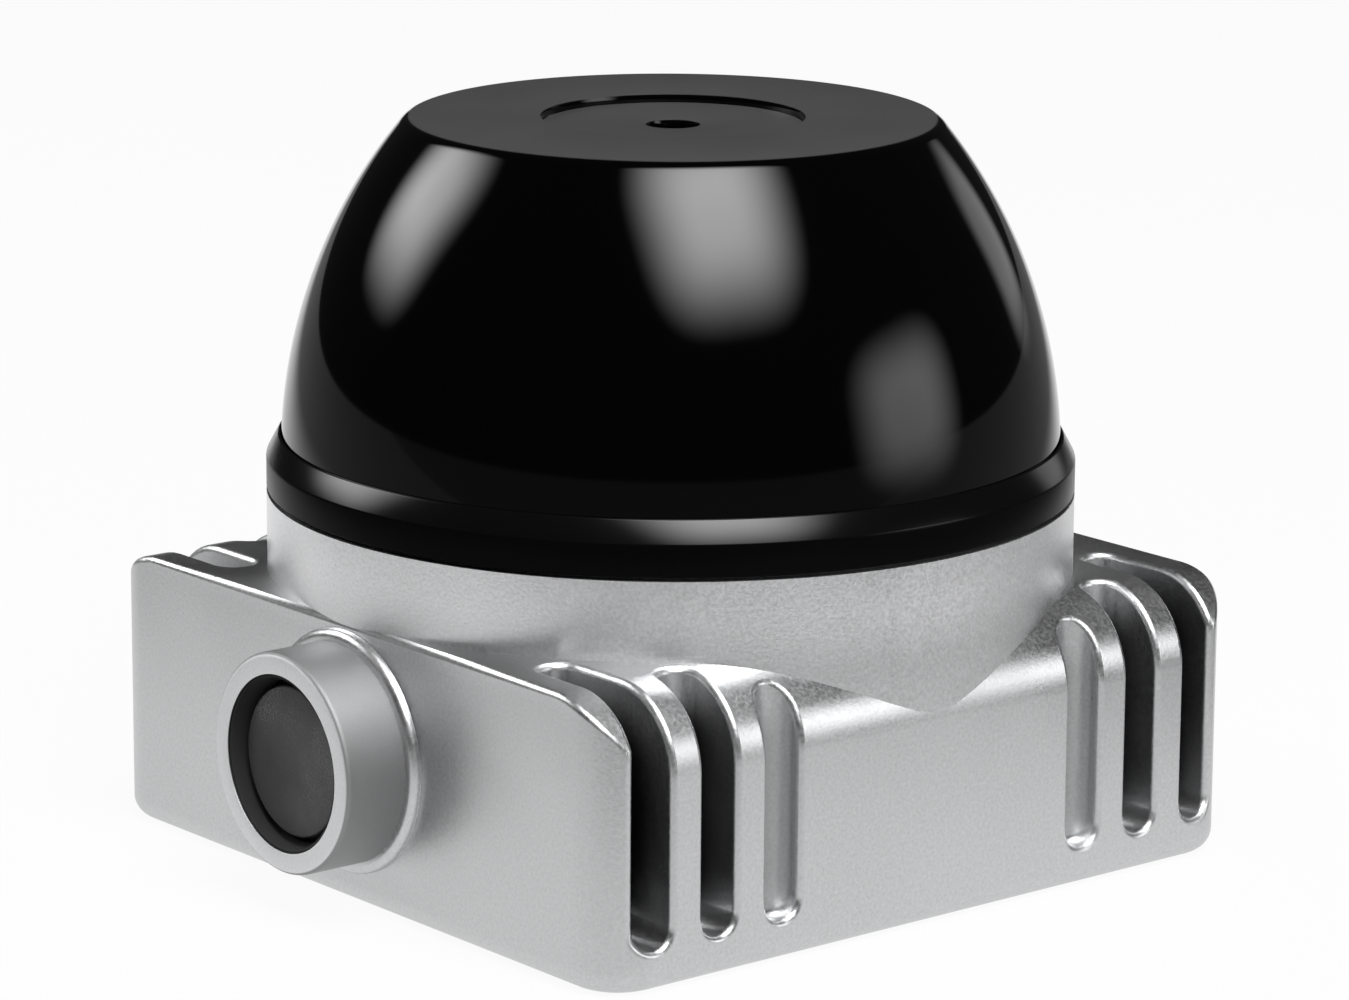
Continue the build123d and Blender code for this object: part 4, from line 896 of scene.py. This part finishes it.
class SCANNER_OT_ring(Operator):
    """The black ring that holds the dome down, and the gasket under it"""

    bl_idname = "scanner.ring"
    bl_label = "Window ring and gasket"

    def execute(self, context):
        sizes = context.scene.scanner_ring
        outer, bottom, top = ring_high.x, ring_low.z, ring_high.z
        band = bottom + sizes.band_height
        mouth = sizes.inner_radius
        flange = dome_high.x + mouth - context.scene.scanner_dome.wall_radius
        recess = bottom + sizes.flange_room
        outline = Profile(flange, bottom)
        outline.line(outer, bottom).line(outer, band)
        outline.line(mouth + sizes.lip, top).line(mouth, top)
        outline.line(mouth, recess).line(flange, recess).close()
        bm = outline.spin(sizes.segments)
        rims = [(outer, bottom), (outer, band), (mouth + sizes.lip, top)]
        round_edges(bm, rims, sizes.edge, segments=3)
        ring_black, tree, shader, place = grained(
            "ring_black", sizes.colour, 0.0, sizes.roughness, 0.2 * MM, 0.3, 0.1, 0.003 * MM
        )
        height = split(tree, place)[2]
        set_sockets(shader, {
            "Specular IOR Level": DULL,
            "Coat Roughness": sizes.coat_roughness,
            "Coat Weight": remap(tree, height, band, band + 0.1 * MM, 0.0, sizes.coat),
        })
        finish_piece("clamp_ring", bm, ring_black, "root", "ring", "window_ring")

        inner, outer = sizes.gasket_inner, gasket_high.x
        gasket = Profile(inner, gasket_low.z)
        gasket.line(outer, gasket_low.z).line(outer, gasket_high.z)
        gasket.line(inner, gasket_high.z).close()
        bm = gasket.spin(sizes.segments)
        finish_piece("dome_gasket", bm, "seal_rubber", "root", "seal", "window_gasket")
        return {"FINISHED"}


class SCANNER_OT_housing(Operator):
    """The bead-blasted square base with its cooling slots and its collar"""

    bl_idname = "scanner.housing"
    bl_label = "Base housing"

    def execute(self, context):
        finish = context.scene.scanner_housing
        metal = blasted_aluminium(finish)
        casting = merged_copy("base_casting", "base_housing", metal, "root", "housing_metal")
        side = base_half - finish.shoulder
        rise = finish.top - finish.shoulder
        shoulders = [(Vector((0, y, rise)), AXIS_X, finish.shoulder) for y in (side, -side)]
        true_normals(casting, [(Vector(), AXIS_Z, ring_high.x), *shoulders])
        return {"FINISHED"}


class SCANNER_OT_connector(Operator):
    """The round connector's barrel, its black guide and the speckled dust plug"""

    bl_idname = "scanner.connector"
    bl_label = "Connector"

    def execute(self, context):
        sizes = context.scene.scanner_connector
        barrel = (shell_high.z - shell_low.z) / 2
        deep = shell_high.x - shell_low.x
        outline = Profile(sizes.bore, 0)
        outline.line(barrel, 0).line(barrel, sizes.barrel).line(sizes.shank, sizes.barrel)
        outline.line(sizes.shank, deep).line(sizes.lip, deep)
        lip = deep - sizes.lip_depth
        outline.line(sizes.lip, lip).line(sizes.bore, lip).close()
        bm = outline.spin(sizes.segments)
        round_edges(bm, [(barrel, 0)], sizes.edge, segments=4)
        round_edges(bm, [(sizes.bore, 0)], sizes.bore_edge, segments=2)
        turn_to_connector(bm, shell_low.x)
        metal = faced_barrel(context.scene.scanner_housing.colour, sizes)
        finish_piece("connector_barrel", bm, metal, "root", "connector_metal", "connector_shell")

        black = material_of("insulator")
        black.node_tree.nodes["Principled BSDF"].inputs["Specular IOR Level"].default_value = DULL
        merged_copy("connector_guide", "connector_insert", black, "root", "insulator")
        merged_copy("dust_plug", "connector_dust_plug", "speckled_plug", "dust_plug", "plug")
        dress("plated_contacts", "connector_pins")
        dress("seal_rubber", "connector_o_ring")
        return {"FINISHED"}


class SCANNER_OT_underside(Operator):
    """The bottom cover with its seal, screws and vent"""

    bl_idname = "scanner.underside"
    bl_label = "Bottom cover"

    def execute(self, context):
        merged_copy("cover_plate", "bottom_cover", "cover_aluminium", "root", "cover_metal")
        dress("seal_rubber", "bottom_cover_seal")
        dress("fastener_steel", "bottom_cover_screws")
        dress("vent_membrane", "pressure_vent")
        return {"FINISHED"}


class SCANNER_OT_electronics(Operator):
    """Boards, chips, flat cables and their fasteners"""

    bl_idname = "scanner.electronics"
    bl_label = "Electronics"

    def execute(self, context):
        dress(circuit_board(), "main_board", "connector_board", "transceiver_board", "motor_board")
        dress("moulded_chip", "main_board_chips", "processor", "encoder_reader")
        dress("moulded_chip", "laser_emitter", "photo_detector")
        dress("flex_film", "connector_flex_circuit", "motor_flex_circuit")
        dress("insulator", "board_connector", "motor_flex_socket")
        dress("thermal_pad", "thermal_pad")
        dress(turned("standoff_brass", (0.7, 0.5, 0.2), 0.3), "board_standoffs")
        dress("fastener_steel", "board_screws")
        return {"FINISHED"}


class SCANNER_OT_optics(Operator):
    """Lens barrel, lenses, prism and mirror"""

    bl_idname = "scanner.optics"
    bl_label = "Optics"

    def execute(self, context):
        dress("black_anodised", "transceiver_body", "lens_barrel", "lens_retaining_ring")
        dress(coated_glass(), "field_lens", "objective_lens", "wedge_prism")
        dress(front_coated_mirror(), "scan_mirror")
        dress("fastener_steel", "transceiver_screws")
        return {"FINISHED"}


class SCANNER_OT_rotors(Operator):
    """Rotor frame, bearings, motors and the spinning heads"""

    bl_idname = "scanner.rotors"
    bl_label = "Rotors"

    def execute(self, context):
        metal = turned("rotor_aluminium", (0.6, 0.61, 0.62), 0.32)
        dress(metal, "rotor_frame", "prism_sleeve", "scan_head_hub", "mirror_bracket")
        steel = turned("bearing_steel", (0.55, 0.55, 0.57), 0.16, 0.06 * MM, 0.1)
        for rotor in ("prism", "head"):
            for rolling in ("outer_race", "inner_race", "balls"):
                dress(steel, f"{rotor}_bearing_{rolling}")
            dress("cage_resin", f"{rotor}_bearing_cage")
            dress("stacked_sheet", f"{rotor}_motor_stator")
            dress("wound_copper", f"{rotor}_motor_coils")
            dress("nickel_magnet", f"{rotor}_magnets")
        dress("fastener_steel", "frame_screws", "bracket_screws", "bearing_clip")
        dress(turned("encoder_steel", (0.4, 0.4, 0.41), 0.3, 0.3 * MM), "encoder_disc")
        dress(turned("weight_brass", (0.6, 0.44, 0.18), 0.3), "balance_weight")
        return {"FINISHED"}


# each lamp's azimuth, elevation, width and height in degrees as seen from the object, the share
# of it that fades out towards its edges, and how much dimmer its foot is
SOFTBOXES = {
    "key": (-107, 57, 51, 58, 0.85, 0.45),
    "back": (119, 31, 40, 39, 0.85, 0.0),
    "side": (-59, 9, 42, 32, 0.75, 0.5),
    "strip": (8, 10, 22, 24, 0.6, 0.0),
}
# how square the soft corners of a lamp are
CORNER_POWER = 3.0


def softbox(name, outline, radiance, target, distance):
    """A lamp with soft edges that faces the target."""
    azimuth, elevation, wide, high, fade, droop = outline
    a, e = math.radians(azimuth), math.radians(elevation)
    way = Vector((math.cos(a) * math.cos(e), math.sin(a) * math.cos(e), math.sin(e)))
    light = bpy.data.lights.new(name, "AREA")
    light.shape = "RECTANGLE"
    light.size = 2 * distance * math.tan(math.radians(wide) / 2)
    light.size_y = 2 * distance * math.tan(math.radians(high) / 2)
    light.energy = radiance * math.pi * light.size * light.size_y
    light.use_nodes = True
    tree = light.node_tree
    place = tree.nodes.new("ShaderNodeNewGeometry").outputs["Parametric"]
    across, up, _ = split(tree, place)
    outward = []
    for side in (across, up):
        from_middle = without_sign(tree, multiply_add(tree, side, 2.0, -1.0))
        outward.append(power(tree, from_middle, CORNER_POWER))
    rim = power(tree, add(tree, *outward), 1 / CORNER_POWER)
    soft = remap(tree, rim, 1.0 - fade, 1.0, 1.0, 0.0)
    foot = multiply_add(tree, up, droop, 1.0 - droop)
    set_sockets(tree.nodes["Emission"], {"Strength": multiply(tree, soft, foot)})
    lamp = new_object(name, light)
    lamp.location = target + way * distance
    lamp.rotation_euler = (-way).to_track_quat("-Z", "Y").to_euler()
    lamp.visible_camera = False


SENSOR_WIDTH = 36.0
FLOOR_SIZE = 6.0
# how far below the object the floor lies, so that the two don't touch
FLOOR_GAP = 0.02 * MM
# where the floor starts to dim and where it is dimmest: ahead of the dome's axis, and at the
# left and the right of the picture, with the least and the most of it, and how the field widens
DIMS_AHEAD = (0.105, 0.135)
DIMS_LEFT = (0.09, 0.2, 0.0, 0.85)
DIMS_RIGHT = (0.062, 0.14, 0.0, 0.9)
FIELD_WIDENS = 0.125


class SCANNER_OT_studio(Operator):
    """The camera, the lamps, the dark room and the pale floor"""

    bl_idname = "scanner.studio"
    bl_label = "Studio"

    def execute(self, context):
        place, levels = context.scene.scanner_camera, context.scene.scanner_studio
        target = Vector((0, 0, place.target_height))
        self.place_camera(place, target)
        for name, outline in SOFTBOXES.items():
            distance = levels.near if name == "side" else levels.far
            softbox(f"{name}_softbox", outline, getattr(levels, name), target, distance)
        self.light_room(levels)
        self.lay_floor(levels, place)
        context.scene.view_settings.view_transform = "Standard"
        return {"FINISHED"}

    def place_camera(self, place, target):
        """The camera at the photograph's viewing angle."""
        a, e, r = place.azimuth, place.elevation, place.roll
        back = Vector((math.sin(a) * math.cos(e), -math.cos(a) * math.cos(e), math.sin(e)))
        level = Vector((math.cos(a), math.sin(a), 0))
        upright = back.cross(level)
        right = level * math.cos(r) + upright * math.sin(r)
        up = upright * math.cos(r) - level * math.sin(r)
        data = bpy.data.cameras.new("photo_camera")
        data.sensor_width = SENSOR_WIDTH
        data.lens = place.lens
        data.clip_start, data.clip_end = 0.01, 20.0
        camera = new_object("photo_camera", data)
        spot = target + place.distance * (back - right * place.aside - up * place.above)
        axes = Matrix((right, up, back)).transposed().to_4x4()
        camera.matrix_world = Matrix.Translation(spot) @ axes
        bpy.context.scene.camera = camera

    def light_room(self, levels):
        """A dark, even room."""
        world = bpy.data.worlds.new("dark_room")
        world.use_nodes = True
        world.node_tree.nodes["Background"].inputs["Color"].default_value = grey(levels.room)
        bpy.context.scene.world = world

    def lay_floor(self, levels, place):
        """A large pale floor that is less pale far in front of the object."""
        bm = bmesh.new()
        bmesh.ops.create_grid(bm, x_segments=1, y_segments=1, size=FLOOR_SIZE)
        bmesh.ops.translate(bm, verts=bm.verts[:], vec=(0, 0, -FLOOR_GAP))
        mesh = bpy.data.meshes.new("studio_floor")
        bm.to_mesh(mesh)
        bm.free()
        material, tree, shader, where = new_material("studio_floor")
        x, y, _ = split(tree, where)
        front_x, front_y = math.sin(place.azimuth), -math.cos(place.azimuth)
        ahead = multiply(tree, y, front_y)
        ahead = multiply_add(tree, x, front_x, ahead)
        beside = multiply(tree, y, -front_x)
        beside = multiply_add(tree, x, front_y, beside)
        widening = multiply(tree, ahead, FIELD_WIDENS)
        far = remap(tree, ahead, *DIMS_AHEAD)
        for outwards, dims in ((add, DIMS_LEFT), (subtract, DIMS_RIGHT)):
            aside = outwards(tree, widening, beside)
            far = larger(tree, far, remap(tree, aside, *dims))
        colour = mix_colour(tree, far, opaque(levels.floor), opaque(levels.floor_front))
        lit = toned(tree, colour, grey(levels.lit))
        set_sockets(shader, {"Base Color": lit, "Roughness": 0.9, "Specular IOR Level": 0.1})
        glow = tree.nodes.new("ShaderNodeEmission")
        tree.links.new(colour, glow.inputs["Color"])
        path = tree.nodes.new("ShaderNodeLightPath").outputs
        seen = larger(tree, path["Is Camera Ray"], path["Is Glossy Ray"])
        seen = larger(tree, seen, path["Is Transmission Ray"])
        mixed = mix_shaders(tree, multiply(tree, seen, levels.glow), shader, glow)
        # from below the floor lets the underside show
        clear = tree.nodes.new("ShaderNodeBsdfTransparent")
        below = tree.nodes.new("ShaderNodeNewGeometry").outputs["Backfacing"]
        both = mix_shaders(tree, below, mixed, clear)
        tree.links.new(both.outputs[0], tree.nodes["Material Output"].inputs["Surface"])
        mesh.materials.append(material)
        floor = new_object("studio_floor", mesh)


OPERATORS = (
    SCANNER_OT_studio,
    SCANNER_OT_housing, SCANNER_OT_dome, SCANNER_OT_ring, SCANNER_OT_connector,
    SCANNER_OT_underside, SCANNER_OT_electronics, SCANNER_OT_optics, SCANNER_OT_rotors,
)

SETTINGS = {
    "scanner_dome": DomeSizes,
    "scanner_ring": RingSizes,
    "scanner_housing": HousingFinish,
    "scanner_connector": ConnectorSizes,
    "scanner_camera": CameraPlace,
    "scanner_studio": StudioLevels,
}


class SCANNER_PT_panel(Panel):
    """Lists every piece of the scanner and its studio"""

    bl_idname = "SCANNER_PT_panel"
    bl_label = "Dome scanner"
    bl_space_type = "VIEW_3D"
    bl_region_type = "UI"
    bl_category = "Scanner"

    def draw(self, context):
        for operator in OPERATORS:
            self.layout.operator(operator.bl_idname)
        for name, settings in SETTINGS.items():
            box = self.layout.box()
            for field in settings.__annotations__:
                box.prop(getattr(context.scene, name), field)


def register():
    """Registers the settings, the operators and the panel."""
    for name, settings in SETTINGS.items():
        bpy.utils.register_class(settings)
        setattr(bpy.types.Scene, name, PointerProperty(type=settings))
    for item in (*OPERATORS, SCANNER_PT_panel):
        bpy.utils.register_class(item)


def unregister():
    """Removes what register made."""
    for item in reversed((*OPERATORS, SCANNER_PT_panel)):
        bpy.utils.unregister_class(item)
    for name, settings in SETTINGS.items():
        delattr(bpy.types.Scene, name)
        bpy.utils.unregister_class(settings)


def main():
    """Makes every piece in order."""
    register()
    for operator in OPERATORS:
        getattr(bpy.ops.scanner, operator.bl_idname.split(".")[1])()


if __name__ == "__main__":
    main()
